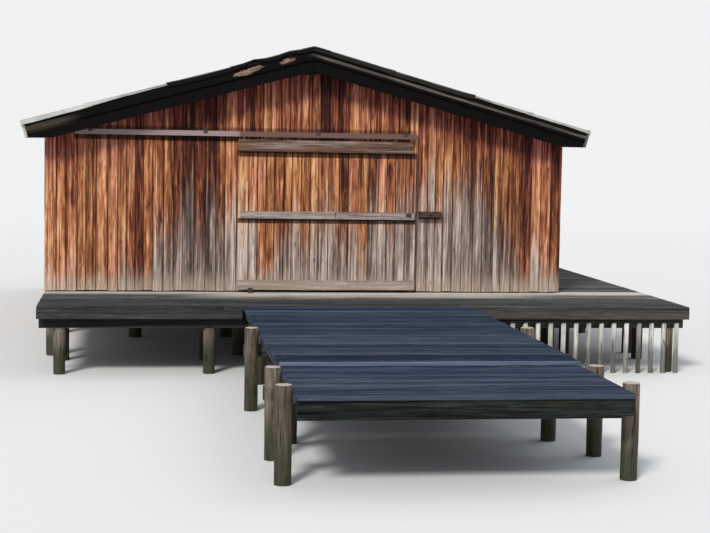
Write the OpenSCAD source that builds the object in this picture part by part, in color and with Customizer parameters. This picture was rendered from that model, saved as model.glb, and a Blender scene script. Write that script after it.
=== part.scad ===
// Timber boathouse on piles with a boarded jetty, a front platform and a side walkway.
// Millimetres, Z up. Every piece is drawn with the middle of the front wall's outer face at
// X 0, Y 0 and the water at Z 0, and is then moved so that the origin is under the middle of
// the whole structure. Land is towards -Y, open water towards +Y.

/* [House] */
// Width over the outer faces of the side walls
house_w = 6500; // [6300:50:6900]
// Length over the outer faces of the gable walls
house_l = 9000; // [8000:100:10000]
// Height of the roof's ridge above the deck
ridge_h = 3045; // [3000:5:3200]
// Slope of both roof sides in degrees
roof_pitch = 15.3; // [14:0.1:16]
// Overhang of the roof past the side walls
side_overhang = 235; // [200:5:350]
// Overhang of the roof past the gable walls
gable_overhang = 270; // [200:10:350]
// Thickness of the board-on-board cladding
wall_t = 44; // [40:1:50]
// Side of the square posts, plates and sills
post = 120; // [100:5:140]

/* [Levels] */
// Height of the deck above the water
deck_top = 800; // [700:10:900]
// Thickness of the deck planks
plank_t = 40; // [30:1:50]
// Height of the sills and of the beams under the inner floor
sill_h = 140; // [120:5:160]
// Height of the joists under the outer decks
joist_h = 110; // [90:5:130]
// Height of the beams across the outer piles
crossbeam_h = 120; // [100:5:140]

/* [Door] */
// Left side of the doorway
doorway_x0 = -800; // [-900:10:-700]
// Right side of the doorway
doorway_x1 = 1270; // [1200:10:1300]
// Height of the doorway above the deck
doorway_h = 1840; // [1780:10:1860]
// Left edge of the sliding leaf when closed
leaf_x0 = -890; // [-950:10:-860]
// Right edge of the sliding leaf when closed
leaf_x1 = 1350; // [1320:10:1350]
// Left end of the track that the leaf hangs from
track_x0 = -2885; // [-2950:5:-2850]

/* [Decks] */
// Depth of the platform in front of the house
platform_d = 1650; // [1500:10:1800]
// Width of the walkway beside the right wall
walkway_w = 1150; // [1000:10:1300]
// Left edge of the jetty
jetty_x0 = -930; // [-1000:10:-900]
// Right edge of the jetty
jetty_x1 = 1750; // [1700:10:1800]
// Distance from the front wall to the step in the jetty
step_y = 6080; // [5800:10:6300]
// Distance from the front wall to the shore end of the jetty
shore_y = 7600; // [7500:10:7800]
// Drop from the jetty to the lower shore stage
step_h = 40; // [30:1:50]

/* [Boat slip] */
// Half width of the boat entrance in the lake gable
slip_half = 2080; // [1900:10:2200]
// Height of the boat entrance above the deck
entrance_h = 1700; // [1600:10:1800]
// Depth of the floor inside the front wall
landing_d = 1900; // [1700:10:2100]

/* [Piles] */
// Diameter of the piles under the house
house_pile_d = 180; // [150:5:200]
// Diameter of the piles under the outer decks
deck_pile_d = 140; // [120:5:160]
// Diameter of the palisade's poles
pole_d = 60; // [50:5:70]
// Spacing of the palisade's poles
pole_step = 155; // [140:5:180]

/* [Hidden] */
$fn = 48;

// Gap left where two timbers of one kind butt together
joint_gap = 3;
// Gap left where pieces meet on a slope
slope_gap = 1;

// Faces of the frame inside the cladding
half_w = house_w / 2;
frame_x = half_w - wall_t;
inner_x = frame_x - post;
frame_y0 = wall_t;
frame_y1 = house_l - wall_t;
inner_y0 = frame_y0 + post;
inner_y1 = frame_y1 - post;

// Levels of the floors and of what carries them
beam_top = deck_top - plank_t;
sill_low = beam_top - sill_h;
joist_low = beam_top - joist_h;
crossbeam_low = joist_low - crossbeam_h;
stage_top = deck_top - step_h;
stage_beam_top = stage_top - plank_t;
stage_joist_low = stage_beam_top - joist_h;
stage_crossbeam_low = stage_joist_low - crossbeam_h;

// Layers of the roof, measured square to its slope from the top face
felt_t = 8;
boards_low = 32;
rafter_low = 132;
wall_top_depth = 35;
tip_x = half_w + side_overhang;
eave_board_t = 32;
eave_board_h = 218;

// Boards of the verge, a narrow one lapped over the upper part of a wide one
barge_high = 28;
barge_low = 290;
barge_t = 28;
lap_low = 150;
lap_t = 22;
verge_t = barge_t + slope_gap + lap_t;

// Four bays between five cross frames, with a rafter pair at each frame and each mid-bay
bays = 4;
frame_first = inner_y0 - post / 2;
frame_last = inner_y1 + post / 2;
bay = (frame_last - frame_first) / bays;
rafter_t = 70;
flying_y = gable_overhang - rafter_t / 2;
rafter_ys = concat(
    [-flying_y],
    [for (i = [0 : 2 * bays]) frame_first + i * bay / 2],
    [house_l + flying_y]
);

// Heights of the plates, the ridge beam and the ties
ridge_half = 60;
ridge_beam_h = 180;
plate_h = 140;
tie_h = 160;
plate_top = layer_z(inner_x, rafter_low);
ridge_beam_top = layer_z(ridge_half, rafter_low);
tie_low = plate_top - tie_h;
side_wall_top = layer_z(half_w, rafter_low) - 5;
girt_z = deck_top + 950;

// The wall foot clears the deck, and the cladding over the water hides the sills
wall_foot = deck_top + 8;
skirt_foot = sill_low + 5;
doorway_top = deck_top + doorway_h;
entrance_top = deck_top + entrance_h;

// The leaf hangs in front of the wall: boards first, then ledges, under a box track
leaf_gap = 12;
leaf_back = -leaf_gap;
ledge_back = leaf_back - 24;
ledge_face = ledge_back - 28;
leaf_low = deck_top + 25;
leaf_top = deck_top + 1895;
top_ledge = [deck_top + 1755, deck_top + 1902];
middle_ledge = [deck_top + 922, deck_top + 1016];
bottom_ledge = [deck_top + 36, deck_top + 154];
track_y = -50;
track_low = deck_top + 1936;
track_size = [56, 64];
track_t = 4;
track_slot = 22;
bracket_xs = [-2700, -1300, 100, 1200];
trolley_xs = [leaf_x0 + 290, leaf_x1 - 290];
wheel_r = 18;
wheel_w = 12;
wheel_inset = 7;
guide_x = leaf_x0 + 130;

// The hasp turns on an upright pin in front of the wall and drops over a staple on the leaf
hasp_z = deck_top + 985;
hasp_pin = [1400, -75.5];
hasp_reach = 140;
knuckle_r = 7;
pin_r = 3;
pin_clearance = 0.08;
strap_t = 5;
strap_h = 48;
strap_l = 260;
slot_l = 48;
slot_h = 18;

// Beams along the edges of the slip and of the landing
joist_w = 80;
edge_beam_x = slip_half + 20;
edge_beam_y = landing_d - joist_w - joint_gap;

// Outer decks
walkway_x1 = half_w + walkway_w;
walkway_y1 = house_l - wall_t - joint_gap;
plank_tuck = 40;
edge_board_t = 40;
crossbeam_w = 100;
pile_side_gap = deck_pile_d / 2;
tall_pile_ys = [3920];
short_pile_ys = [2250, 5600];
short_pile_inset = 150;
stage_pile_ys = [6300, 7250];
platform_pile_xs = [-3000, -1300, 2500, 4200];
walkway_pile_ys = [200, 2300, 4400, 6500, 8600];
pile_head = 35;
pole_top = deck_top - 200;
riser_t = 35;
riser_inset = 25;
riser_h = 140;

// The whole structure's middle, which is where the origin goes
eave_tip = tip_x + (slope_gap + eave_board_t) * cos(roof_pitch);
mid_x = (walkway_x1 - eave_tip) / 2;
mid_y = (house_l + gable_overhang + verge_t - shore_y) / 2;

// Height of the roof's top face, and of a layer below it, at distance x from the ridge
function top_z(x) = deck_top + ridge_h - tan(roof_pitch) * x;
function layer_z(x, depth) = top_z(x) - depth / cos(roof_pitch);

// A point at a depth under the roof's edge, square to the slope
function tip_at(depth, reach = tip_x) =
    [reach - depth * sin(roof_pitch), top_z(reach) - depth * cos(roof_pitch)];

function frame_y(i) = frame_first + i * bay;

module centred() translate([-mid_x, -mid_y, 0]) children();

// A block between two opposite corners
module block(low, high) translate(low) cube(high - low);

// A drawing in X and Z, made solid from y0 to y1
module along_y(y0, y1)
    translate([0, y1, 0]) rotate([90, 0, 0]) linear_extrude(y1 - y0) children();

// A drawing in Y and Z, made solid from x0 to x1
module along_x(x0, x1)
    translate([x0, 0, 0]) rotate([90, 0, 90]) linear_extrude(x1 - x0) children();

module both_sides() {
    children();
    mirror([1, 0, 0]) children();
}

// The section of one roof layer, plumb at the ridge and square at the eave
module roof_layer(high, low, start = joint_gap / 2, reach = tip_x)
    polygon([
        [start, layer_z(start, high)],
        tip_at(high, reach),
        tip_at(low, reach),
        [start, layer_z(start, low)],
    ]);

module pile(x, y, top, d) translate([x, y, 0]) cylinder(d = d, h = top);

// Piles

module house_piles() color([0.36, 0.31, 0.26]) {
    for (side = [-1, 1], i = [0 : bays])
        pile(side * (inner_x + post / 2), frame_y(i), sill_low, house_pile_d);
    for (side = [-1, 1], y = [landing_d - 40, frame_y(2), frame_y(3), frame_y(4)])
        pile(side * (slip_half + 60), y, sill_low, house_pile_d);
    for (x = [-900, 900])
        pile(x, landing_d - 40, sill_low, house_pile_d);
    for (x = [doorway_x0 - 50, doorway_x1 + 50])
        pile(x, frame_first, sill_low, house_pile_d);
}

module deck_piles() color([0.38, 0.33, 0.28]) {
    for (x = [jetty_x0 - pile_side_gap, jetty_x1 + pile_side_gap]) {
        for (y = tall_pile_ys)
            pile(x, -y, deck_top + pile_head, deck_pile_d);
        for (y = stage_pile_ys)
            pile(x, -y, deck_top + pile_head - step_h, deck_pile_d);
    }
    for (x = [jetty_x0 + short_pile_inset, jetty_x1 - short_pile_inset], y = short_pile_ys)
        pile(x, -y, crossbeam_low, deck_pile_d);
    for (x = platform_pile_xs, y = [350, platform_d - 200])
        pile(x, -y, crossbeam_low, deck_pile_d);
    for (x = [half_w + 150, walkway_x1 - 150], y = walkway_pile_ys)
        pile(x, y, crossbeam_low, deck_pile_d);
}

module palisade() color([0.62, 0.58, 0.5]) {
    count = floor((walkway_x1 - jetty_x1 - 250) / pole_step);
    for (i = [0 : count])
        pile(jetty_x1 + 200 + i * pole_step, 90 - platform_d, pole_top, pole_d);
}

// Floors and the beams under them

// The sills under the walls, and the beams along the edges of the slip
module floor_beams() color([0.4, 0.3, 0.22]) {
    both_sides() {
        block([inner_x, frame_y0, sill_low], [frame_x, frame_y1, beam_top]);
        block([edge_beam_x, landing_d, sill_low], [edge_beam_x + joist_w, frame_y1, beam_top]);
    }
    block(
        [joint_gap - inner_x, frame_y0, sill_low],
        [inner_x - joint_gap, inner_y0, beam_top]
    );
    block(
        [joint_gap - inner_x, edge_beam_y, sill_low],
        [inner_x - joint_gap, landing_d - joint_gap, beam_top]
    );
}

module floor_joists() color([0.42, 0.33, 0.25]) {
    both_sides()
        for (i = [1 : bays - 1], shift = [0, bay / 2])
            block(
                [edge_beam_x + joist_w, frame_y(i) + shift - joist_w / 2, sill_low],
                [inner_x, frame_y(i) + shift + joist_w / 2, beam_top]
            );
    for (x = [-2400 : 800 : 2400])
        block(
            [x - joist_w / 2, inner_y0, sill_low],
            [x + joist_w / 2, edge_beam_y, beam_top]
        );
}

module landing_floor() color([0.44, 0.39, 0.34]) {
    block(
        [-inner_x, inner_y0 + joint_gap, beam_top],
        [inner_x, landing_d - joint_gap, deck_top]
    );
    block(
        [doorway_x0, plank_tuck + joint_gap, beam_top],
        [doorway_x1, inner_y0, deck_top]
    );
}

module slip_walks() color([0.44, 0.39, 0.34])
    both_sides()
        block([slip_half, landing_d, beam_top], [inner_x, inner_y1 - joint_gap, deck_top]);

// Timber frame

module wall_posts() color([0.5, 0.36, 0.24]) {
    both_sides()
        for (i = [0 : bays])
            block(
                [inner_x, frame_y(i) - post / 2, beam_top],
                [frame_x, frame_y(i) + post / 2, plate_top - plate_h]
            );
    for (x = [doorway_x0 - 100, doorway_x1])
        block([x, frame_y0, beam_top], [x + 100, inner_y0, tie_low]);
    both_sides()
        block(
            [slip_half, inner_y1, beam_top],
            [slip_half + 100, frame_y1, tie_low]
        );
}

module wall_plates() color([0.5, 0.36, 0.24])
    both_sides()
        block(
            [inner_x, -gable_overhang, plate_top - plate_h],
            [frame_x, house_l + gable_overhang, plate_top]
        );

// Rails between the posts that the cladding is nailed to
module wall_girts() color([0.5, 0.36, 0.24]) {
    both_sides()
        for (i = [0 : bays - 1])
            block(
                [frame_x - 60, frame_y(i) + post / 2, girt_z - 40],
                [frame_x, frame_y(i + 1) - post / 2, girt_z + 40]
            );
    for (x = [[-inner_x, doorway_x0 - 100], [doorway_x1 + 100, inner_x]])
        block([x[0], frame_y0, girt_z - 40], [x[1], frame_y0 + 60, girt_z + 40]);
    both_sides()
        block(
            [slip_half + 100, frame_y1 - 60, girt_z - 40],
            [inner_x, frame_y1, girt_z + 40]
        );
}

module tie_beams() color([0.5, 0.36, 0.24])
    for (i = [0 : bays])
        block(
            [-inner_x, frame_y(i) - post / 2, tie_low],
            [inner_x, frame_y(i) + post / 2, plate_top]
        );

module king_posts() color([0.5, 0.36, 0.24])
    for (i = [0 : bays])
        block(
            [-50, frame_y(i) - 50, plate_top],
            [50, frame_y(i) + 50, ridge_beam_top - ridge_beam_h]
        );

// Knee braces cut to seat on the post's face and on the tie's underside
module knee_braces() color([0.5, 0.36, 0.24]) {
    leg = 520;
    face = 100;
    both_sides()
        for (i = [1 : bays - 1])
            along_y(frame_y(i) - 35, frame_y(i) + 35)
                polygon([
                    [inner_x, tie_low - leg],
                    [inner_x, tie_low - leg + face],
                    [inner_x - leg + face, tie_low],
                    [inner_x - leg, tie_low],
                ]);
}

module ridge_beam() color([0.5, 0.36, 0.24])
    block(
        [-ridge_half, -gable_overhang, ridge_beam_top - ridge_beam_h],
        [ridge_half, house_l + gable_overhang, ridge_beam_top]
    );

// A rafter notched over the ridge beam and the wall plate, its tail cut square
module rafter_section()
    polygon([
        [joint_gap / 2, layer_z(joint_gap / 2, boards_low)],
        tip_at(boards_low),
        tip_at(rafter_low),
        [frame_x, layer_z(frame_x, rafter_low)],
        [frame_x, plate_top],
        [inner_x, plate_top],
        [ridge_half, ridge_beam_top],
        [joint_gap / 2, ridge_beam_top],
    ]);

module rafters() color([0.5, 0.36, 0.24])
    both_sides()
        for (y = rafter_ys)
            along_y(y - rafter_t / 2, y + rafter_t / 2) rafter_section();

// Walls

// The holes through which the plates and the ridge beam carry the verge
module beam_holes(y0, y1) {
    both_sides()
        block(
            [inner_x - 2, y0 - 1, plate_top - plate_h - 2],
            [frame_x + 2, y1 + 1, plate_top + 2]
        );
    block(
        [-ridge_half - 2, y0 - 1, ridge_beam_top - ridge_beam_h - 2],
        [ridge_half + 2, y1 + 1, ridge_beam_top + 2]
    );
}

// Part of a gable wall from x0 to x1, from its foot up to the roof boards
module gable_panel(x0, x1, foot, y0) {
    ridge_point = x0 < 0 && x1 > 0 ? [[0, layer_z(0, wall_top_depth)]] : [];
    difference() {
        along_y(y0, y0 + wall_t)
            polygon(concat(
                [[x0, foot], [x1, foot], [x1, layer_z(abs(x1), wall_top_depth)]],
                ridge_point,
                [[x0, layer_z(abs(x0), wall_top_depth)]]
            ));
        beam_holes(y0, y0 + wall_t);
    }
}

module front_wall_left() color([0.6, 0.33, 0.17])
    gable_panel(-half_w, doorway_x0, wall_foot, 0);

module front_wall_right() color([0.6, 0.33, 0.17])
    gable_panel(doorway_x1, half_w, wall_foot, 0);

module front_gable() color([0.55, 0.29, 0.16])
    gable_panel(doorway_x0, doorway_x1, doorway_top, 0);

module rear_wall_left() color([0.58, 0.34, 0.19])
    gable_panel(-half_w, -slip_half, skirt_foot, house_l - wall_t);

module rear_wall_right() color([0.58, 0.34, 0.19])
    gable_panel(slip_half, half_w, skirt_foot, house_l - wall_t);

module rear_gable() color([0.55, 0.31, 0.18])
    gable_panel(-slip_half, slip_half, entrance_top, house_l - wall_t);

module left_wall() color([0.58, 0.34, 0.19])
    block([-half_w, frame_y0, skirt_foot], [-frame_x, frame_y1, side_wall_top]);

module right_wall() color([0.58, 0.34, 0.19])
    block([frame_x, frame_y0, wall_foot], [half_w, frame_y1, side_wall_top]);

// Roof

module roof_boards() color([0.42, 0.34, 0.27])
    along_y(-gable_overhang, house_l + gable_overhang)
        both_sides() roof_layer(felt_t, boards_low);

module roof_felt() color([0.55, 0.55, 0.52])
    along_y(-gable_overhang, house_l + gable_overhang)
        both_sides() roof_layer(0, felt_t);

// A strip of felt folded over the ridge
module ridge_cap() color([0.5, 0.5, 0.47]) {
    reach = 180;
    cap_t = 6;
    along_y(-gable_overhang, house_l + gable_overhang)
        translate([0, slope_gap])
            polygon([
                [-reach, top_z(reach)],
                [0, top_z(0)],
                [reach, top_z(reach)],
                [reach, top_z(reach) + cap_t],
                [0, top_z(0) + cap_t],
                [-reach, top_z(reach) + cap_t],
            ]);
}

// The wide board of the verge, cut level at the foot of the eave board
module wide_board_section() {
    foot = tip_at(eave_board_h);
    foot_x = (layer_z(0, barge_low) - foot.y) / tan(roof_pitch);
    polygon([
        [joint_gap / 2, layer_z(joint_gap / 2, barge_high)],
        tip_at(barge_high),
        foot,
        [foot_x, foot.y],
        [joint_gap / 2, layer_z(joint_gap / 2, barge_low)],
    ]);
}

module bargeboards() color([0.13, 0.11, 0.1]) {
    for (y = [-gable_overhang - barge_t, house_l + gable_overhang])
        along_y(y, y + barge_t) both_sides() wide_board_section();
    for (y = [-gable_overhang - verge_t, house_l + gable_overhang + verge_t - lap_t])
        along_y(y, y + lap_t) both_sides() roof_layer(barge_high, lap_low);
}

module eave_boards() color([0.72, 0.73, 0.72])
    along_y(-gable_overhang - verge_t, house_l + gable_overhang + verge_t)
        both_sides()
            translate(tip_at(0)) rotate(-roof_pitch)
                translate([slope_gap, -eave_board_h]) square([eave_board_t, eave_board_h]);

// Sliding door

// A box track, open along its underside
module door_track() color([0.62, 0.58, 0.56])
    along_x(track_x0, leaf_x1)
        translate([track_y, track_low])
            difference() {
                translate([-track_size.x / 2, 0]) square(track_size);
                translate([track_t - track_size.x / 2, track_t])
                    square([track_size.x - 2 * track_t, track_size.y - 2 * track_t]);
                translate([-track_slot / 2, -1]) square([track_slot, track_t + 2]);
            }

module track_brackets() color([0.3, 0.25, 0.22]) {
    track_top = track_low + track_size.y;
    front = track_y - track_size.x / 2;
    back = track_y + track_size.x / 2;
    for (x = bracket_xs)
        along_x(x - 25, x + 25)
            polygon([
                [0, track_low],
                [0, track_top + 40],
                [-5, track_top + 40],
                [-5, track_top + 6],
                [front - 6, track_top + 6],
                [front - 6, track_top - 30],
                [front, track_top - 30],
                [front, track_top],
                [back, track_top],
                [back, track_low],
            ]);
}

module door_boards() color([0.66, 0.38, 0.2])
    block([leaf_x0, ledge_back, leaf_low], [leaf_x1, leaf_back, leaf_top]);

// The middle ledge is made of two lengths that meet near its middle
module door_ledges() color([0.5, 0.44, 0.38]) {
    meeting_x = 330;
    for (z = [top_ledge, bottom_ledge])
        block([leaf_x0, ledge_face, z[0]], [leaf_x1, ledge_back, z[1]]);
    for (x = [[leaf_x0 + 30, meeting_x - 2], [meeting_x + 2, leaf_x1 - 15]])
        block([x[0], ledge_face, middle_ledge[0]], [x[1], ledge_back, middle_ledge[1]]);
}

// One trolley: a plate on the leaf, a hanger bolt, a carriage and its four wheels
module trolley(x) {
    axle_z = track_low + track_t + wheel_r + 1;
    plate_z = top_ledge[1];
    translate([x, track_y, 0]) {
        block([-40, -13, plate_z], [40, 13, plate_z + 5]);
        translate([0, 0, plate_z]) cylinder(d = 12, h = axle_z - plate_z);
        block([-42, -5, axle_z - 9], [42, 5, axle_z + 9]);
        for (dx = [-24, 24]) {
            translate([dx, wheel_inset + wheel_w, axle_z]) rotate([90, 0, 0])
                cylinder(d = 8, h = 2 * (wheel_inset + wheel_w));
            for (y = [-wheel_inset, wheel_inset + wheel_w])
                translate([dx, y, axle_z]) rotate([90, 0, 0])
                    cylinder(r = wheel_r, h = wheel_w);
        }
    }
}

module door_trolleys() color([0.35, 0.33, 0.32])
    for (x = trolley_xs)
        trolley(x);

// An angle on the platform that keeps the foot of the leaf from swinging out
module door_guide() color([0.3, 0.25, 0.22]) {
    upright = ledge_face - 14;
    block([guide_x, upright - 60, deck_top], [guide_x + 60, upright + 6, deck_top + 5]);
    block([guide_x, upright, deck_top], [guide_x + 60, upright + 6, deck_top + 60]);
}

// Hasp

module hasp_block() color([0.5, 0.33, 0.2])
    block([hasp_pin.x - 5, ledge_face, hasp_z - 45], [hasp_pin.x + 285, 0, hasp_z + 45]);

module hasp_leaf() color([0.23, 0.15, 0.12]) {
    leaf_h = 60;
    knuckle_h = 15;
    block(
        [hasp_pin.x, ledge_face - 4, hasp_z - leaf_h / 2],
        [hasp_pin.x + 70, ledge_face, hasp_z + leaf_h / 2]
    );
    for (z = [hasp_z - leaf_h / 2, hasp_z + leaf_h / 2 - knuckle_h]) {
        translate([hasp_pin.x, hasp_pin.y, z]) cylinder(r = knuckle_r, h = knuckle_h);
        block(
            [hasp_pin.x, hasp_pin.y, z],
            [hasp_pin.x + knuckle_r, ledge_face, z + knuckle_h]
        );
    }
    translate([hasp_pin.x, hasp_pin.y, hasp_z - leaf_h / 2]) cylinder(r = pin_r, h = leaf_h);
}

// The strap lies open along the wall, with a slot for the staple and a round end
module hasp_strap() color([0.23, 0.15, 0.12]) {
    neck_h = 26;
    neck_l = 13;
    end_r = strap_h / 2;
    difference() {
        translate([hasp_pin.x, hasp_pin.y, hasp_z]) {
            translate([0, 0, -neck_h / 2]) cylinder(r = knuckle_r, h = neck_h);
            block([0, -strap_t / 2, -neck_h / 2], [neck_l, strap_t / 2, neck_h / 2]);
            block(
                [neck_l - 1, -strap_t / 2, -strap_h / 2],
                [strap_l - end_r, strap_t / 2, strap_h / 2]
            );
            translate([strap_l - end_r, strap_t / 2, 0]) rotate([90, 0, 0])
                cylinder(r = end_r, h = strap_t);
        }
        translate([hasp_pin.x, hasp_pin.y, hasp_z - neck_h])
            cylinder(r = pin_r + pin_clearance, h = 2 * neck_h);
        block(
            [hasp_pin.x + hasp_reach - slot_l / 2, hasp_pin.y - strap_t, hasp_z - slot_h / 2],
            [hasp_pin.x + hasp_reach + slot_l / 2, hasp_pin.y + strap_t, hasp_z + slot_h / 2]
        );
    }
}

// A round loop on a plate that is screwed to the middle ledge
module hasp_staple() color([0.23, 0.15, 0.12]) {
    wire_r = 4;
    loop_r = 12;
    leg_l = 20;
    x = hasp_pin.x - hasp_reach;
    plate_face = ledge_face - 3;
    block([x - 35, plate_face, hasp_z - 25], [x + 35, ledge_face, hasp_z + 25]);
    for (dx = [-loop_r, loop_r])
        translate([x + dx, plate_face, hasp_z]) rotate([90, 0, 0])
            cylinder(r = wire_r, h = leg_l);
    translate([x, plate_face - leg_l, hasp_z]) rotate([0, 0, 180])
        rotate_extrude(angle = 180) translate([loop_r, 0]) circle(r = wire_r);
}

// Outer decks

module platform_deck() color([0.3, 0.31, 0.35])
    block([-half_w, -platform_d, beam_top], [walkway_x1, plank_tuck, deck_top]);

module walkway_deck() color([0.3, 0.31, 0.35])
    block(
        [half_w - plank_tuck, plank_tuck + joint_gap, beam_top],
        [walkway_x1, walkway_y1, deck_top]
    );

module jetty_deck() color([0.3, 0.31, 0.35])
    block([jetty_x0, -step_y, beam_top], [jetty_x1, -platform_d - joint_gap, deck_top]);

module shore_stage() color([0.3, 0.31, 0.35])
    block(
        [jetty_x0, -shore_y, stage_beam_top],
        [jetty_x1, -step_y - joint_gap, stage_top]
    );

module shore_riser() color([0.31, 0.28, 0.28])
    block(
        [jetty_x0, riser_inset - shore_y, stage_beam_top - riser_h],
        [jetty_x1, riser_inset + riser_t - shore_y, stage_beam_top]
    );

// Joists that run towards the house, and the boards over their ends
module deck_joists() color([0.36, 0.32, 0.28]) {
    edge_y = edge_board_t - platform_d;
    joist_x0 = -half_w + joist_w;
    joist_x1 = walkway_x1 - joist_w;
    platform_joists = 8;
    for (i = [0 : platform_joists]) {
        x = joist_x0 + i * (joist_x1 - joist_x0) / platform_joists;
        block(
            [x - joist_w / 2, edge_y + joint_gap, joist_low],
            [x + joist_w / 2, -joint_gap, beam_top]
        );
    }
    block([-half_w, -platform_d, joist_low], [jetty_x0, edge_y, beam_top]);
    block([jetty_x1, -platform_d, joist_low], [walkway_x1, edge_y, beam_top]);
    for (x = [half_w + 80, walkway_x1 - joist_w])
        block(
            [x - joist_w / 2, plank_tuck, joist_low],
            [x + joist_w / 2, walkway_y1 - 10, beam_top]
        );
    stringers = 3;
    for (i = [0 : stringers]) {
        x = jetty_x0 + joist_w + i * (jetty_x1 - jetty_x0 - 2 * joist_w) / stringers;
        block(
            [x - joist_w / 2, 10 - step_y, joist_low],
            [x + joist_w / 2, -platform_d - joint_gap, beam_top]
        );
        block(
            [x - joist_w / 2, riser_inset + riser_t - shore_y, stage_joist_low],
            [x + joist_w / 2, -step_y - joint_gap, stage_beam_top]
        );
    }
}

// Beams across the piles, beside the tall jetty piles and on top of the short ones
module deck_crossbeams() color([0.34, 0.3, 0.26]) {
    for (y = tall_pile_ys)
        block(
            [jetty_x0 - deck_pile_d, pile_side_gap - y, crossbeam_low],
            [jetty_x1 + deck_pile_d, pile_side_gap + crossbeam_w - y, joist_low]
        );
    for (y = short_pile_ys)
        block(
            [jetty_x0 + 20, -y - crossbeam_w / 2, crossbeam_low],
            [jetty_x1 - 20, crossbeam_w / 2 - y, joist_low]
        );
    for (y = stage_pile_ys)
        block(
            [jetty_x0 - deck_pile_d, pile_side_gap - y, stage_crossbeam_low],
            [jetty_x1 + deck_pile_d, pile_side_gap + crossbeam_w - y, stage_joist_low]
        );
    for (y = [350, platform_d - 200])
        block(
            [-half_w + 20, -y - crossbeam_w / 2, crossbeam_low],
            [walkway_x1 - 20, crossbeam_w / 2 - y, joist_low]
        );
    for (y = walkway_pile_ys)
        block(
            [half_w + 20, y - crossbeam_w / 2, crossbeam_low],
            [walkway_x1 - 20, y + crossbeam_w / 2, joist_low]
        );
}

centred() house_piles();
centred() floor_beams();
centred() floor_joists();
centred() landing_floor();
centred() slip_walks();
centred() wall_posts();
centred() wall_plates();
centred() wall_girts();
centred() tie_beams();
centred() king_posts();
centred() knee_braces();
centred() ridge_beam();
centred() rafters();
centred() front_wall_left();
centred() front_wall_right();
centred() front_gable();
centred() left_wall();
centred() right_wall();
centred() rear_wall_left();
centred() rear_wall_right();
centred() rear_gable();
centred() roof_boards();
centred() roof_felt();
centred() ridge_cap();
centred() bargeboards();
centred() eave_boards();
centred() door_track();
centred() track_brackets();
centred() door_boards();
centred() door_ledges();
centred() door_trolleys();
centred() door_guide();
centred() hasp_block();
centred() hasp_leaf();
centred() hasp_strap();
centred() hasp_staple();
centred() platform_deck();
centred() walkway_deck();
centred() jetty_deck();
centred() shore_stage();
centred() deck_joists();
centred() deck_crossbeams();
centred() deck_piles();
centred() shore_riser();
centred() palisade();
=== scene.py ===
import math
import random
from functools import cached_property

import bmesh
import bpy
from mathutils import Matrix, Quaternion, Vector, noise


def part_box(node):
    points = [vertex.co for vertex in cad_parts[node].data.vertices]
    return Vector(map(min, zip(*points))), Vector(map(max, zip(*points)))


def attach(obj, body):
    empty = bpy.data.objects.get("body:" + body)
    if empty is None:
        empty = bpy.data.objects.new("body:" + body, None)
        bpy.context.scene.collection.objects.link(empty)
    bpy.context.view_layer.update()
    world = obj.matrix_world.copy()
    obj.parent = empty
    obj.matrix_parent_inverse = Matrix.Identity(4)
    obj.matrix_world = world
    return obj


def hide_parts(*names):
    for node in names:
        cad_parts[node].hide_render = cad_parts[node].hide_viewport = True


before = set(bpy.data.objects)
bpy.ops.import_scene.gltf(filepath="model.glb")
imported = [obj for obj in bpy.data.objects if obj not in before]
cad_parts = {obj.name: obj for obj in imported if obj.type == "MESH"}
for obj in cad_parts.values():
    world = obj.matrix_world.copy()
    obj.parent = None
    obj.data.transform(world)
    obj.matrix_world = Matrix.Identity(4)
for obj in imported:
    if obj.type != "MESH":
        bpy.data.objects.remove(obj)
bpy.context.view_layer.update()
rng = random.Random(5859)

# House coordinates: x from the ridge, y from the front wall's outer face, z from the deck.

AXIS = (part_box("left_wall")[0].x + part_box("right_wall")[1].x) / 2
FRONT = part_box("front_wall_left")[0].y
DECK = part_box("platform_deck")[1].z
HOME = Vector((AXIS, FRONT, DECK))
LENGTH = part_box("rear_wall_left")[1].y - FRONT
PITCH = math.radians(15.3)
COS, SIN, SLOPE = math.cos(PITCH), math.sin(PITCH), math.tan(PITCH)
RIDGE_FLAT = 0.0015
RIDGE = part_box("roof_felt")[1].z - DECK + RIDGE_FLAT * SLOPE
EDGE = (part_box("roof_felt")[1].x - AXIS) / COS
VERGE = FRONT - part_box("bargeboards")[0].y
UP = Vector((0, 0, 1))
RIGHT = Vector((1, 0, 0))
BACK = Vector((0, 1, 0))


def house_box(node):
    """The node's lowest and highest corners in house coordinates."""
    low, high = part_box(node)
    return low - HOME, high - HOME


def clamp(value, low, high):
    return min(max(value, low), high)


def lerp(a, b, share):
    return a + (b - a) * share


def spaced(first, pitch, count):
    """So many evenly spaced places."""
    return [first + pitch * i for i in range(count)]


def around(middle, spread, low=0.06, high=0.94):
    """A random share around the middle."""
    return clamp(rng.gauss(middle, spread), low, high)


def between(knots, x):
    """The value at x on a line through (x, value) knots."""
    for (x0, a), (x1, b) in zip(knots, knots[1:]):
        if x <= x1:
            return lerp(a, b, max(0.0, (x - x0) / (x1 - x0)))
    return knots[-1][1]


# Meshes

def add_object(name, data):
    obj = bpy.data.objects.new(name, data)
    bpy.context.scene.collection.objects.link(obj)
    return obj


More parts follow.
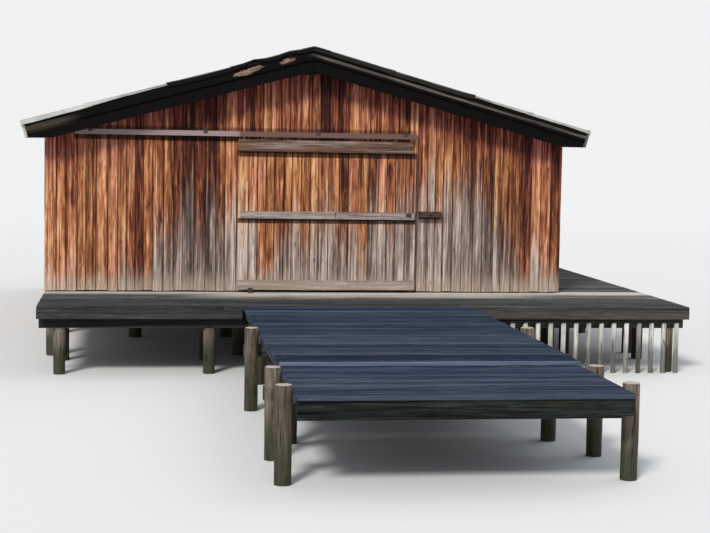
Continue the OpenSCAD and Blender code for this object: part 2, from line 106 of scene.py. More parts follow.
class Solids:
    """Closed solids gathered into one mesh. Each point keeps its place in its board's grain
    and a look: the board's tone, how near its edge the point is, and how bleached the board is.
    The look of felt says instead how black and how pale its flaps are."""

    def __init__(self):
        self.points = []
        self.faces = []
        self.grain = []
        self.look = []

    def add(self, points, faces, grain, look):
        first = len(self.points)
        self.points += points
        self.faces += [[first + i for i in face] for face in faces]
        self.grain += grain
        self.look += look

    def make(self, name, material, slot, *nodes, body="house", smooth=None):
        mesh = bpy.data.meshes.new(name)
        mesh.from_pydata([p + HOME for p in self.points], [], self.faces)
        for key, values in (("grain", self.grain), ("look", self.look)):
            layer = mesh.attributes.new(key, "FLOAT_VECTOR", "POINT")
            layer.data.foreach_set("vector", [c for v in values for c in v])
        work = bmesh.new()
        work.from_mesh(mesh)
        bmesh.ops.recalc_face_normals(work, faces=work.faces)
        work.to_mesh(mesh)
        work.free()
        mesh.materials.append(material)
        if smooth:
            mesh.polygons.foreach_set("use_smooth", [True] * len(mesh.polygons))
            mesh.set_sharp_from_angle(angle=math.radians(smooth))
        obj = add_object(name, mesh)
        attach(obj, body)
        if nodes:
            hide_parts(*nodes)


def loft_faces(rings, count):
    """The faces of a closed solid made of rings of so many points each."""
    faces = []
    for i in range(rings - 1):
        for j in range(count):
            k = (j + 1) % count
            faces.append((i * count + j, i * count + k, (i + 1) * count + k, (i + 1) * count + j))
    return faces + [tuple(reversed(range(count))), tuple(range((rings - 1) * count, rings * count))]


def plank(solids, start, along, across, out, length, width, thick, tone, cut=None, bleach=None,
          ease=0.0025, bow=0.002, cup=0.0008, step=0.6, skew=0.003):
    """A board with eased arrises that is a little bowed and cupped. start is one of its corners,
    and it grows along, across and out from there. cut(u) gives its two ends at u across it."""
    if cut is None:
        slant = rng.uniform(-skew, skew)
        cut = lambda u: (slant * u / width, length - slant * u / width)
    e = ease * rng.uniform(0.8, 1.5)
    section = [(e, 0, 1), (width / 2, 0, 0), (width - e, 0, 1), (width, e, 1), (width, thick - e, 1),
               (width - e, thick, 1), (width / 2, thick, 0), (e, thick, 1), (0, thick - e, 1), (0, e, 1)]
    spans = max(2, round(length / step))
    stations = [(0.0, 0.0, e), (0.0, e, 0.0), *((i / spans, 0.0, 0.0) for i in range(1, spans)),
                (1.0, -e, 0.0), (1.0, 0.0, e)]
    arch, wave, side_arch, side_wave = [rng.uniform(-bow, bow) for _ in range(4)]
    cups = rng.uniform(-cup, cup)
    offset = (rng.uniform(-0.05, 0.05), rng.uniform(0.02, 0.1), rng.uniform(0, 40))
    if bleach is None:
        bleach = rng.random()
    points, grain, look = [], [], []
    for t, shift, inset in stations:
        lift = arch * math.sin(math.pi * t) + wave * math.sin(2 * math.pi * t)
        side = 0.6 * side_arch * math.sin(math.pi * t) + 0.4 * side_wave * math.sin(3 * math.pi * t)
        for u, v, edge in section:
            s = lerp(*cut(u), t) + shift
            h = clamp(u, inset, width - inset) + side
            n = clamp(v, inset, thick - inset) + lift + cups * (1 - (2 * u / width - 1) ** 2)
            points.append(start + along * s + across * h + out * n)
            grain.append((u - width / 2 + offset[0], v + offset[1], s + offset[2]))
            look.append((tone, edge, bleach))
    solids.add(points, loft_faces(len(stations), len(section)), grain, look)


def shell(solids, grid, thick, grain_of, look_of):
    """A sheet of one thickness under a grid of points."""
    rows, cols = len(grid), len(grid[0])
    half = rows * cols
    places = [(i, j) for i in range(rows) for j in range(cols)]
    under = []
    for i, j in places:
        du = grid[min(i + 1, rows - 1)][j] - grid[max(i - 1, 0)][j]
        dv = grid[i][min(j + 1, cols - 1)] - grid[i][max(j - 1, 0)]
        under.append(grid[i][j] - du.cross(dv).normalized() * thick)
    faces = []
    for i in range(rows - 1):
        for a in range(i * cols, (i + 1) * cols - 1):
            faces.append((a, a + 1, a + cols + 1, a + cols))
            faces.append((half + a, half + a + cols, half + a + cols + 1, half + a + 1))
    rim = [*range(cols), *range(2 * cols - 1, half, cols), *range(half - 2, half - cols - 1, -1),
           *range(half - 2 * cols, 0, -cols)]
    for a, b in zip(rim, rim[1:] + rim[:1]):
        faces.append((a, half + a, half + b, b))
    solids.add([p for row in grid for p in row] + under, faces,
               [grain_of(i, j) for i, j in places] * 2, [look_of(i, j) for i, j in places] * 2)


def log(solids, x, y, low, high, diameter, tone, rough, sides, dome=0.008, step=0.16):
    """A round post with a slightly uneven trunk and an eased top."""
    seed = rng.uniform(0, 60)
    spans = max(3, round((high - low) / step))
    levels = [*((i / spans, 1.0) for i in range(spans)),
              ((high - dome - low) / (high - low), 1.0), (1.0, 0.9)]
    points, grain, look = [], [], []
    for t, size in levels:
        z = lerp(low, high, t)
        for j in range(sides):
            angle = 2 * math.pi * j / sides
            cos, sin = math.cos(angle), math.sin(angle)
            spot = Vector((cos * 1.3 + seed, sin * 1.3, z * 1.7))
            wave = 1 + rough * (noise.noise(spot) - 0.3) + 0.4 * rough * noise.noise(spot * 3.1)
            r = diameter / 2 * size * min(wave, 1.04)
            points.append(Vector((x + r * cos, y + r * sin, z)))
            grain.append((r * cos, r * sin, z + seed))
            look.append((tone, size, seed / 60))
    solids.add(points, loft_faces(len(levels), sides), grain, look)


def stud(solids, centre, normal, radius, height, sides=6, round_top=0.7, sunk=0.001):
    """The head of a nail, screw or bolt."""
    side = normal.orthogonal().normalized()
    other = normal.cross(side)
    turn = rng.uniform(0, 1)
    points = []
    for r, h in ((radius, -sunk), (radius, height / 2), (radius * round_top, height)):
        for j in range(sides):
            a = 2 * math.pi * (j + turn) / sides
            points.append(centre + side * (r * math.cos(a)) + other * (r * math.sin(a)) + normal * h)
    tone = rng.random()
    grain = [tuple(p + RIGHT * tone) for p in points]
    solids.add(points, loft_faces(3, sides), grain, [(tone, 0, tone)] * len(points))


def fill(low, high, pitch, spread, gap):
    """Splits a run into boards of nearly one width, with uneven gaps between them."""
    sizes = [rng.uniform(1 - spread, 1 + spread) for _ in range(max(1, round((high - low) / pitch)))]
    scale = (high - low) / sum(sizes)
    edges, at = [], low
    for size in sizes:
        half_gap = gap * rng.choice((0.45, 0.8, 1.0, 1.2, 1.7)) / 2
        edges.append((at + half_gap, at + size * scale - half_gap))
        at += size * scale
    edges[0] = (low, edges[0][1])
    edges[-1] = (edges[-1][0], high)
    return edges


# Materials

class Graph:
    """A tree of shader nodes. Its methods return sockets, and take sockets, numbers or colours."""

    def __init__(self, owner):
        owner.use_nodes = True
        self.owner = owner
        self.tree = owner.node_tree
        self.tree.nodes.clear()

    def node(self, kind, inputs=(), out=0, **settings):
        """An output of a new node, whose inputs are given in their order or by their keys."""
        node = self.tree.nodes.new("ShaderNode" + kind)
        for key, value in settings.items():
            setattr(node, key, value)
        for key, value in (inputs.items() if isinstance(inputs, dict) else enumerate(inputs)):
            socket = node.inputs[key]
            if isinstance(value, bpy.types.NodeSocket):
                self.tree.links.new(value, socket)
            else:
                socket.default_value = (*value, 1) if socket.type == "RGBA" else value
        return node.outputs[out] if node.outputs else None

    def math(self, operation, *values):
        return self.node("Math", values, operation=operation)

    def times(self, product, *factors):
        for factor in factors:
            product = self.math("MULTIPLY", product, factor)
        return product

    def add(self, *terms):
        """The sum of sockets, numbers and (socket, factor, centre) terms. A centre left out is 0.5."""
        total = None
        for term in terms:
            if isinstance(term, tuple):
                socket, factor, centre = (*term, 0.5)[:3]
                term = self.math("MULTIPLY_ADD", socket, factor, -factor * centre)
            total = term if total is None else self.math("ADD", total, term)
        return total

    def vector(self, operation, a, b):
        return self.node("VectorMath", (a, b), operation=operation)

    def split(self, vector):
        return self.node("SeparateXYZ", [vector]).node.outputs[:]

    def step(self, value, low, high, top=1.0, base=0.0):
        """A smooth step from base at low to top at high."""
        return self.node("MapRange", (value, low, high, base, top), interpolation_type="SMOOTHSTEP")

    def span(self, value, low, high, soft):
        """1 between low and high, fading out over soft."""
        return self.times(self.step(value, low - soft, low), self.step(value, high + soft, high))

    def pattern(self, kind, vector, scale, out, inputs=None, **settings):
        """A texture. scale says how many of its waves a metre holds, on each axis."""
        inputs = {"Vector": self.vector("MULTIPLY", vector, scale), "Scale": 1.0, **(inputs or {})}
        return self.node("Tex" + kind, inputs, out, **settings)

    def noise(self, vector, scale, detail=3.0, rough=0.55, warp=0.0):
        inputs = {"Detail": detail, "Roughness": rough, "Distortion": warp}
        return self.pattern("Noise", vector, scale, "Fac", inputs)

    def rings(self, vector, scale, warp):
        """A trunk's rings."""
        inputs = {"Distortion": warp, "Detail": 2.0, "Detail Scale": 0.35}
        return self.pattern("Wave", vector, (scale, scale, scale * 0.03), "Fac", inputs,
                            wave_type="RINGS", rings_direction="Z")

    def cracks(self, vector, scale, warp, wide, narrow):
        """Thin lines where a noise passes its middle."""
        offset = self.math("SUBTRACT", self.noise(vector, scale, 3.0, 0.5, warp), 0.5)
        return self.step(self.math("ABSOLUTE", offset), wide, narrow)

    def ramp(self, value, *stops):
        """The colour at value among (place, colour) stops."""
        colour = self.node("ValToRGB", [value])
        elements = colour.node.color_ramp.elements
        while len(elements) < len(stops):
            elements.new(0.5)
        for element, (place, shade) in zip(elements, stops):
            element.position = place
            element.color = (*shade, 1)
        return colour

    def mix(self, factor, a, b, blend="MIX"):
        return self.node("Mix", {0: factor, 6: a, 7: b}, 2, data_type="RGBA", blend_type=blend)

    def shade(self, colour, factor, dark):
        """The colour taken towards a darker share of itself."""
        return self.mix(factor, colour, dark, "MULTIPLY")


class Look(Graph):
    """A surface's material. A wood's streaks and broad patches are kept with it."""

    def __init__(self, name):
        super().__init__(bpy.data.materials.new(name))

    def attribute(self, name):
        return self.node("Attribute", out="Vector", attribute_name=name)

    def geometry(self, out):
        return self.node("NewGeometry", out=out)

    @cached_property
    def place(self):
        """The point in house coordinates."""
        return self.vector("SUBTRACT", self.node("TexCoord", out="Object"), tuple(HOME))

    @cached_property
    def xyz(self):
        return self.split(self.place)

    @cached_property
    def own(self):
        """The three numbers of the look that Solids keeps for the point."""
        return self.split(self.attribute("look"))

    def roof_depth(self):
        """How far straight down from the plane of the roof the point is."""
        x, _, z = self.xyz
        level = self.math("MULTIPLY_ADD", self.math("ABSOLUTE", x), SLOPE, z)
        return self.math("SUBTRACT", RIDGE, level)

    def at_front(self):
        """1 on the front wall, and on what hangs on it or stands before it."""
        return self.step(self.xyz[1], 0.2, 0.1)

    def ragged(self, value, streak, broad):
        """The value, made uneven by these shares of the streaks and the broad patches."""
        return self.add(value, (self.streak, streak), (self.broad, broad))

    def surface(self, colour, rough, height=None, depth=0.002, strength=0.6, specular=0.35, sky_sheen=None):
        """The surface's shader. Its sheen, a weight and tint, is a painted reflection of the sky at flat
        angles.
        """
        inputs = {"Base Color": colour, "Roughness": rough, "Specular IOR Level": specular}
        if sky_sheen:
            inputs["Sheen Weight"], inputs["Sheen Tint"] = sky_sheen
        if height is not None:
            inputs["Normal"] = self.node("Bump", {"Strength": strength, "Distance": depth, "Height": height})
        return self.node("BsdfPrincipled", inputs)

    def end(self, shader):
        self.node("OutputMaterial", [shader])
        return self.owner


def evenly(*colours):
    """The colours as evenly spaced stops of a ramp."""
    return [(i / (len(colours) - 1), colour) for i, colour in enumerate(colours)]


def board_source(look):
    """A board's grain, tone, edges and bleaching, as plank() gave them."""
    return look.attribute("grain"), *look.own


def timber_source(axis):
    """The same for a CAD node whose timbers all run along one axis, or down the roof. Its edges
    aren't known."""
    def source(look):
        x, y, z = look.xyz
        tone = look.geometry("Random Per Island")
        ways = {"x": (y, z, x), "y": (x, z, y), "z": (x, y, z)}
        if axis == "slope":
            run = look.math("ABSOLUTE", x)
            ways[axis] = (look.math("MULTIPLY_ADD", run, SLOPE, z), y, run)
        a, b, along = ways[axis]
        grain = look.node("CombineXYZ", (a, b, look.math("ADD", along, look.times(tone, 37.0))))
        return grain, tone, None, look.math("FRACT", look.times(tone, 7.31))
    return source


def wood(name, tones, greys, weather=0.5, source=board_source, exposed=None, rough=0.88, relief=1.0,
         stain=(0.16, 0.11, 0.09), stains=0.5, specular=0.2, marks=None, worn=0.4, contrast=1.0,
         arris=None, sky_sheen=None):
    """Sawn wood. tones is the ramp of its boards' colours and greys that of its weathered face;
    exposed() or weather says where that face shows, and marks() adds what is special to a place.
    arris is the colour of the boards' edges where they are rubbed pale; without it their arrises and their
    sides are darkened, which on the sides is painted shade in the gaps between boards."""
    look = Look(name)
    p, tone, edge, bleach = source(look)
    streak = look.streak = look.noise(p, (46, 46, 1.2), 4.0, 0.62, 0.4)
    broad = look.broad = look.noise(p, (9, 9, 0.8))
    wide = look.noise(p, (19, 19, 0.45), 3.0, 0.6, 0.3)
    fine = look.noise(p, (330, 330, 7), 2.0)
    ring = look.rings(p, 62, 5.0)
    mottle = look.noise(p, (27, 27, 3.4), 4.0, 0.62, 0.7)
    value = look.add(tone, (streak, 0.95 * contrast), (wide, 1.1 * contrast), (broad, 0.4), (ring, 0.14),
                     (mottle, 1.05 * contrast))
    hue = look.add((look.math("FRACT", look.times(tone, 37.7)), 0.7, 0.0), (mottle, 1.2, 0.37))
    colour = look.shade(look.ramp(value, *tones), 1.0, look.mix(hue, (0.96, 0.78, 0.9), (1.0, 0.97, 0.78)))
    value = look.add((tone, 0.6, 0.1), (streak, 1.2 * contrast, 0.28), (wide, 1.3 * contrast),
                     (ring, 0.12), (fine, 0.5), (broad, 0.4), (mottle, 0.7 * contrast))
    if exposed:
        mask = exposed(look, bleach)
    else:
        mask = look.step(look.add(look.ragged(weather, 0.8, 0.5), (bleach, 0.3)), 0.3, 0.7)
    colour = look.mix(mask, colour, look.ramp(value, *greys))

    blot = look.step(look.noise(p, (24, 24, 0.55), 3.0, 0.6, 0.8), 0.54, 0.7, stains)
    colour = look.shade(colour, blot, stain)
    colour = look.shade(colour, look.step(fine, 0.62, 0.3, 0.45), (0.5, 0.47, 0.45))
    crack = look.times(look.cracks(p, (75, 75, 0.9), 0.6, 0.016, 0.004), look.step(broad, 0.42, 0.55))
    colour = look.shade(colour, look.times(crack, 0.85), (0.12, 0.1, 0.09))

    cell, chance = (look.pattern("Voronoi", p, (10, 0.4, 3.6), out) for out in ("Distance", "Color"))
    knot = look.times(look.step(cell, 0.17, 0.1), look.step(look.split(chance)[0], 0.8, 0.82))
    colour = look.shade(colour, look.times(knot, 0.6), (0.22, 0.15, 0.12))
    height = look.add((fine, 0.45), (ring, 0.25), (streak, 0.5), (crack, -1.2, 0))
    height = look.math("MULTIPLY_ADD", knot, 0.5, height)
    if edge is not None:
        # Without arris: darkened arrises, and painted shade on the boards' sides in the gaps; with arris:
        # pale worn arrises
        edge_wear_and_gap_shade = look.step(look.add(edge, (streak, 0.25)), 0.86, 1.0, worn)
        if arris:
            colour = look.mix(look.times(edge_wear_and_gap_shade, look.step(bleach, 0.3, 1.0)), colour, arris)
        else:
            colour = look.shade(colour, edge_wear_and_gap_shade, (0.35, 0.3, 0.28))
    if marks:
        colour = marks(look, colour)
    shine = look.add(rough, (fine, -0.12), (broad, 0.12))
    return look.end(look.surface(colour, shine, height, 0.0016 * relief, 0.75, specular, sky_sheen))


def wall_exposure(look, bleach):
    """Bleached near the foot, where the rain splashes, and higher on some boards."""
    wet = look.ragged(look.add(look.xyz[2], (bleach, -1.9, 0.1)), -1.1, -0.9)
    return look.step(wet, 0.4, -0.45, 0.92)


def ledge_exposure(look, bleach):
    return look.step(look.ragged(bleach, 1.2, 1.2), 0.25, 0.75)


def pale_foot(look, colour):
    """The front's foot is bleached tan, above where its boards end."""
    foot = look.step(look.ragged(look.xyz[2], 0.5, 0.4), 0.3, 0.04, 0.6)
    tan = look.ramp(look.add(look.streak, (look.broad, 0.6)),
                    (0.2, (0.26, 0.2, 0.15)), (0.75, (0.58, 0.48, 0.385)))
    return look.mix(look.times(foot, look.at_front()), colour, tan)


def painted_shadow_lines(*lines):
    """Red boards under the roof, unbleached where it shelters them and painted with bluish shade from the
    eave, a pale foot, and painted shadows as dark lines along what is fixed to the boards: (x0, x1, z0, z1,
    strength)."""
    def marks(look, colour):
        x, _, z = look.xyz
        # Sheltered boards keep their dark red, and the eave's shade is painted over them, bluish with
        # skylight
        sheltered_and_shaded = look.step(look.ragged(look.roof_depth(), 0.5, 0.6), 0.85, 0.3, 0.85)
        colour = pale_foot(look, look.shade(colour, sheltered_and_shaded, (0.77, 0.5, 0.92)))
        for x0, x1, z0, z1, strength in lines:
            # Each line is a painted shadow along a rail, a ledge or the door's edge
            shadow_line = look.times(look.span(look.add(z, (look.streak, 0.03)), z0, z1, 0.012),
                              look.span(x, x0, x1, 0.01), look.times(look.at_front(), strength))
            colour = look.shade(colour, shadow_line, (0.09, 0.055, 0.05))
        return colour
    return marks


def painted_step_highlight(look, colour):
    """The plank at the step, whose bleaching is past 1, has a pale blue highlight painted on its front face.
    """
    facing = look.split(look.geometry("Normal"))[1]
    mask = look.times(look.step(facing, -0.3, -0.8), look.step(look.own[2], 1.5, 1.9))
    pale = look.ramp(look.streak, (0.3, (0.075, 0.095, 0.155)), (0.7, (0.17, 0.2, 0.31)))
    return look.mix(mask, colour, pale)


def painted_sunlight_and_dark_edge(look, colour):
    """Planks painted pale as sunlight in front of the door and along the wall, and darker towards their outer
    edge.
    """
    x, y = look.xyz[:2]
    door_sunlight = look.times(look.step(look.ragged(y, 0.5, 0.9), -0.95, -0.2),
                      look.span(look.add(x, (look.broad, 1.5)), -0.7, 2.1, 1.2))
    # The sunlit strip along the wall's foot, painted pale
    wall = look.times(look.step(look.ragged(y, 0.1, 0.15), -0.32, -0.14), look.at_front())
    # Darker towards the planks' outer edge
    darkening = look.step(look.ragged(y, 0.25, 0.5), -0.45, -0.85, 0.8)
    sunlit_pale = look.ramp(look.streak, (0.2, (0.26, 0.24, 0.225)), (0.75, (0.74, 0.69, 0.645)))
    return look.mix(look.times(look.math("MAXIMUM", door_sunlight, wall), 0.88),
                    look.shade(colour, darkening, (0.3, 0.36, 0.36)), sunlit_pale)


CLADDING = evenly((0.035, 0.01, 0.008), (0.1, 0.03, 0.017), (0.225, 0.08, 0.036),
                  (0.4, 0.17, 0.074), (0.61, 0.29, 0.142), (0.79, 0.49, 0.3))
BLEACHED = (
    (0.0, (0.045, 0.036, 0.03)),
    (0.3, (0.125, 0.098, 0.083)),
    (0.6, (0.3, 0.24, 0.21)),
    (1.0, (0.64, 0.56, 0.51)),
)
LEDGE_TONES = evenly((0.045, 0.024, 0.02), (0.15, 0.088, 0.072), (0.34, 0.23, 0.19))
LEDGE_GREYS = ((0.0, (0.06, 0.045, 0.04)), (0.45, (0.21, 0.168, 0.15)), (1.0, (0.5, 0.45, 0.42)))
FRAME_TONES = evenly((0.1, 0.062, 0.038), (0.2, 0.13, 0.08), (0.33, 0.23, 0.145))
FRAME_GREYS = evenly((0.08, 0.064, 0.05), (0.2, 0.165, 0.13), (0.36, 0.31, 0.26))
# Near-black timbers under the decks: damp, and darkened further as painted shade
DARK_TONES = evenly((0.01, 0.011, 0.011), (0.028, 0.03, 0.031), (0.075, 0.075, 0.072))
DARK_GREYS = evenly((0.014, 0.016, 0.016), (0.036, 0.04, 0.041), (0.09, 0.095, 0.095))
# Dark timber whose blue slate tones are partly painted shade: the blue skylight in the shade the jetty lies
# in
SLATE = (
    (0.0, (0.004, 0.007, 0.012)),
    (0.4, (0.012, 0.019, 0.034)),
    (0.75, (0.024, 0.035, 0.058)),
    (1.0, (0.057, 0.071, 0.1)),
)
SLATE_GREY = evenly((0.005, 0.008, 0.014), (0.017, 0.027, 0.044), (0.069, 0.087, 0.115))
WARM_GREY = evenly((0.035, 0.038, 0.042), (0.12, 0.122, 0.126), (0.3, 0.29, 0.28))
FLOOR_TONES = evenly((0.12, 0.085, 0.06), (0.24, 0.18, 0.13), (0.38, 0.31, 0.24))
SARKING_TONES = evenly((0.11, 0.07, 0.045), (0.22, 0.15, 0.095), (0.36, 0.26, 0.17))

LEAF = house_box("door_boards")
RAIL = house_box("door_track")
# The foot and the top of each of the door's ledges
HEADER = (1.755, 1.902)
MIDDLE = (0.922, 1.016)
BOTTOM = (0.036, 0.154)


def red_boards(name, stains, *lines):
    """The weathered red boards of the walls or the door, with painted shadow lines."""
    return wood(name, CLADDING, BLEACHED, exposed=wall_exposure, stains=stains, contrast=1.35,
                marks=painted_shadow_lines(*lines))


# Painted shadow lines under the rail left of the door, along the rail's top, beside the door's right edge,
# and under the door's header and middle ledges
wall_wood = red_boards("wall_boards", 0.7, (RAIL[0].x, LEAF[0].x, RAIL[0].z - 0.055, RAIL[0].z, 0.85),
                       (RAIL[0].x, RAIL[1].x, RAIL[1].z, RAIL[1].z + 0.04, 0.5),
                       (LEAF[1].x - 0.01, LEAF[1].x + 0.02, 0.0, HEADER[0] - 0.005, 0.7))
door_wood = red_boards("door_boards_wood", 0.6, (LEAF[0].x, LEAF[1].x, HEADER[0] - 0.06, HEADER[0], 0.9),
                       (LEAF[0].x, LEAF[1].x, MIDDLE[0] - 0.05, MIDDLE[0], 0.9))
ledge_wood = wood("ledge_wood", LEDGE_TONES, LEDGE_GREYS, exposed=ledge_exposure, marks=pale_foot)
# The jetty's blue tones paint in the shade and skylight it lies in, and its blue sheen is a painted
# reflection of the sky
jetty_wood = wood("jetty_planks", SLATE, SLATE_GREY, 0.55, rough=0.92, relief=1.3, stain=(0.4, 0.36, 0.36),
                  specular=0.03, marks=painted_step_highlight, worn=0.6, contrast=1.4, arris=(0.07, 0.088, 0.125),
                  sky_sheen=(0.055, (0.3, 0.52, 1.0)))
platform_wood = wood("platform_planks", WARM_GREY, WARM_GREY, 0.6, rough=0.92, relief=1.2,
                     stain=(0.35, 0.34, 0.34), specular=0.08, marks=painted_sunlight_and_dark_edge)
floor_wood = wood("floor_planks", FLOOR_TONES, FRAME_GREYS)
sarking_wood = wood("roof_boarding_wood", SARKING_TONES, FRAME_GREYS, 0.3)
frame_boards = wood("frame_timber_wood", FRAME_TONES, FRAME_GREYS, 0.35)
damp_and_shaded_boards = wood("damp_timber_wood", DARK_TONES, DARK_GREYS)


def felt_material(name, stops, moss, washed=0.0):
    """Mineral felt. Its flaps at the front gable are pale, or blackened as far as their look says,
    and dirt has washed down from the lap on its lower courses."""
    look = Look(name)
    p = look.attribute("grain")
    tar, flap = look.own[1:]
    away = look.math("ABSOLUTE", look.xyz[0])
    grit = look.noise(p, (900, 900, 900), 1.0, 0.5)
    blotch = look.noise(p, (3.1, 3.1, 1.7), 5.0, 0.6, 0.5)
    run = look.noise(p, (0.7, 1, 9), 4.0, 0.6, 0.3)
    value = look.add((blotch, 0.8, 0.1), (run, 0.5), (grit, 0.5))
    growth = look.step(look.noise(p, (14, 14, 14), 5.0, 0.7, 0.6), 0.56, 0.72, moss)
    colour = look.mix(growth, look.ramp(value, *stops), (0.075, 0.085, 0.045))
    dirt = look.step(look.add(away, (run, 1.6), (blotch, 1.0)), 1.8, 2.9, 0.0, washed)
    colour = look.shade(colour, dirt, (0.5, 0.5, 0.47))
    chalk = look.ramp(value, (0.2, (0.4, 0.405, 0.39)), (0.7, (0.74, 0.75, 0.73)))
    colour = look.mix(look.times(flap, look.step(away, 1.9, 2.6, 0.8)), colour, chalk)
    colour = look.mix(look.step(tar, 0.1, 1.0), colour, (0.006, 0.005, 0.005))
    height = look.add((grit, 0.6), (blotch, 0.8), (growth, 0.8, 0))
    return look.end(look.surface(colour, 0.95, height, 0.0015, specular=0.1))


def log_material(name, stops, darkening, bark, top):
    """Round logs, streaked along their length, cracked, green and damp towards the water, with
    patches of bark and the rings on their upper ends."""
    look = Look(name)
    p = look.attribute("grain")
    streak = look.noise(p, (26, 26, 1.6), 4.0, 0.62, 0.6)
    fine = look.noise(p, (160, 160, 8))
    colour = look.ramp(look.add(look.own[0], (streak, 1.1), (fine, 0.3)), *stops)
    wet = look.step(look.add(look.xyz[2], (streak, 0.35), (fine, 0.1)), -0.28, -0.62, darkening)
    colour = look.mix(wet, colour, (0.03, 0.034, 0.018))
    patch = look.step(look.noise(p, (11, 11, 5), 4.0, 0.6, 0.8), 0.5, 0.62, bark)
    colour = look.mix(patch, colour, (0.055, 0.042, 0.032))
    crack = look.cracks(p, (30, 30, 1.1), 0.8, 0.03, 0.008)
    colour = look.shade(colour, look.times(crack, 0.8), (0.15, 0.12, 0.1))
    rings = look.rings(look.vector("ADD", p, (0.004, 0.003, 0.0)), 48, 1.2)
    end = look.ramp(rings, (0.0, tuple(c * 0.62 for c in top)), (1.0, top))
    colour = look.mix(look.step(look.split(look.geometry("Normal"))[2], 0.6, 0.9), colour, end)
    height = look.add((streak, 0.9), (fine, 0.4), (crack, -1.0, 0), (patch, 0.6, 0))
    return look.end(look.surface(colour, look.add(0.9, (wet, -0.3, 0)), height, 0.004, 0.7, 0.2))


def steel_material(name, paint, chips, shine, bare_from=None):
    """Steel under paint or rust. chips is the share that has rusted through, and to the right of
    bare_from all the paint is gone."""
    look = Look(name)
    wide = look.noise(look.place, (17, 17, 17), 5.0, 0.65, 0.4)
    small = look.noise(look.place, (140, 140, 140), 4.0, 0.6)
    grit = look.noise(look.place, (900, 900, 900), 2.0)
    coat = look.ramp(look.add((wide, 0.8, 0.1), (small, 0.3)), *paint)
    if bare_from is not None:
        bare = look.step(look.add(look.xyz[0], (wide, 0.2)), bare_from - 0.02, bare_from + 0.02, 0.92)
        coat = look.mix(bare, coat, (0.105, 0.05, 0.04))
    rust = look.ramp(look.add((small, 0.9, 0.0), (grit, 0.35)),
                     (0.15, (0.018, 0.009, 0.006)), (0.45, (0.075, 0.028, 0.014)),
                     (0.7, (0.16, 0.062, 0.026)), (0.95, (0.3, 0.14, 0.06)))
    worn = look.step(look.add(wide, (small, 0.5)), 0.78 - chips, 0.84 - chips)
    height = look.add((small, 0.8), (grit, 0.4), (worn, -0.4, 0))
    rough = look.add(shine, (worn, 0.25, 0), (small, 0.2))
    return look.end(look.surface(look.mix(worn, coat, rust), rough, height, 0.0008, specular=0.45))


# Cladding

WALL = 0.044
LAYER = WALL / 2
# How far under the roof's top face the boards of the gables end
ROOF_DEPTH = 0.036

# The radius and height of a nail's head
WALL_NAIL = (0.0042, 0.0016)
LEDGE_NAIL = (0.0045, 0.002)
DECK_NAIL = (0.005, 0.0014)

# How light and how bleached the front's boards are, from its left corner to its right one
FRONT_TONES = (
    (-3.25, 0.66), (-2.9, 0.62), (-2.7, 0.54), (-2.45, 0.82), (-2.1, 0.46), (-1.95, 0.66),
    (-1.75, 0.38), (-1.45, 0.2), (-1.15, 0.3), (-0.95, 0.66), (-0.5, 0.6), (0.1, 0.6), (0.7, 0.44),
    (1.2, 0.56), (1.4, 0.6), (1.6, 0.7), (1.9, 0.36), (2.3, 0.32), (2.5, 0.56), (2.8, 0.46),
    (3.0, 0.6), (3.25, 0.48),
)
FRONT_BLEACH = (
    (-3.25, 0.1), (-2.1, 0.14), (-1.85, 0.5), (-1.3, 0.7), (-0.9, 0.55), (-0.6, 0.45), (0.5, 0.52),
    (1.2, 0.62), (1.38, 0.85), (1.6, 0.66), (1.9, 0.75), (2.3, 0.73), (2.5, 0.45), (2.9, 0.34),
    (3.25, 0.36),
)
GABLE_TONES = (
    (-0.8, 0.3), (-0.58, 0.3), (-0.5, 0.72), (-0.1, 0.66), (0.05, 0.55), (0.14, 0.26), (0.42, 0.28),
    (0.5, 0.7), (0.72, 0.68), (0.8, 0.3), (1.0, 0.5), (1.25, 0.32),
)


def front_look(x):
    """The tone and the bleaching of the front's board at x."""
    return around(between(FRONT_TONES, x), 0.1), around(between(FRONT_BLEACH, x), 0.1, 0.0, 1.0)


def gable_look(x):
    return around(between(GABLE_TONES, x), 0.1), 0.3


def plain_look(x):
    return around(0.5, 0.17), around(0.4, 0.16, 0.0, 1.0)


def gable_top(x):
    return RIDGE - SLOPE * abs(x) - ROOF_DEPTH / COS


def clad(name, node, out, rows, look_of, play=0.0005, uneven=0.012, clear=0.03, wander=0.006,
         proud=0.0006):
    """Two layers of upright boards in place of a wall, whose face looks out. They are nailed at
    the heights in rows, where the wall still goes on clear above them."""
    low, high = house_box(node)
    across = UP.cross(out)
    start, end = sorted((low.dot(across), high.dot(across)))
    face = out * max(low.dot(out), high.dot(out))
    top = gable_top if out.y else lambda h: high.z
    solids = Solids()
    outer = fill(start, end, pitch=0.124, spread=0.22, gap=0.009)
    inner = []
    for joint in (start, *((a[1] + b[0]) / 2 for a, b in zip(outer, outer[1:])), end):
        reach = rng.uniform(0.04, 0.048)
        inner.append((max(start, joint - reach), min(end, joint + reach)))
    for depth, boards in ((WALL, inner), (LAYER, outer)):
        for a, b in boards:
            foot = low.z + rng.uniform(0, uneven)
            tone, bleach = look_of((a + b) / 2)
            plank(solids, face + across * a - out * depth + UP * foot, UP, across, out,
                  max(top(a), top(b)) - low.z, b - a, LAYER - play, tone,
                  lambda u: (0.0, top(a + u) - foot), bleach, bow=0.0016, cup=0.001, step=0.55)
    for a, b in outer:
        for z in rows:
            if z < top((a + b) / 2) - clear:
                for share in (0.28, 0.72):
                    h = lerp(a, b, share) + rng.uniform(-wander, wander)
                    spot = face + across * h + UP * (z + rng.uniform(-2 * wander, 2 * wander))
                    stud(wall_nails, spot + out * proud, out, *WALL_NAIL)
    solids.make(name, wall_wood, "cladding_boards", node)


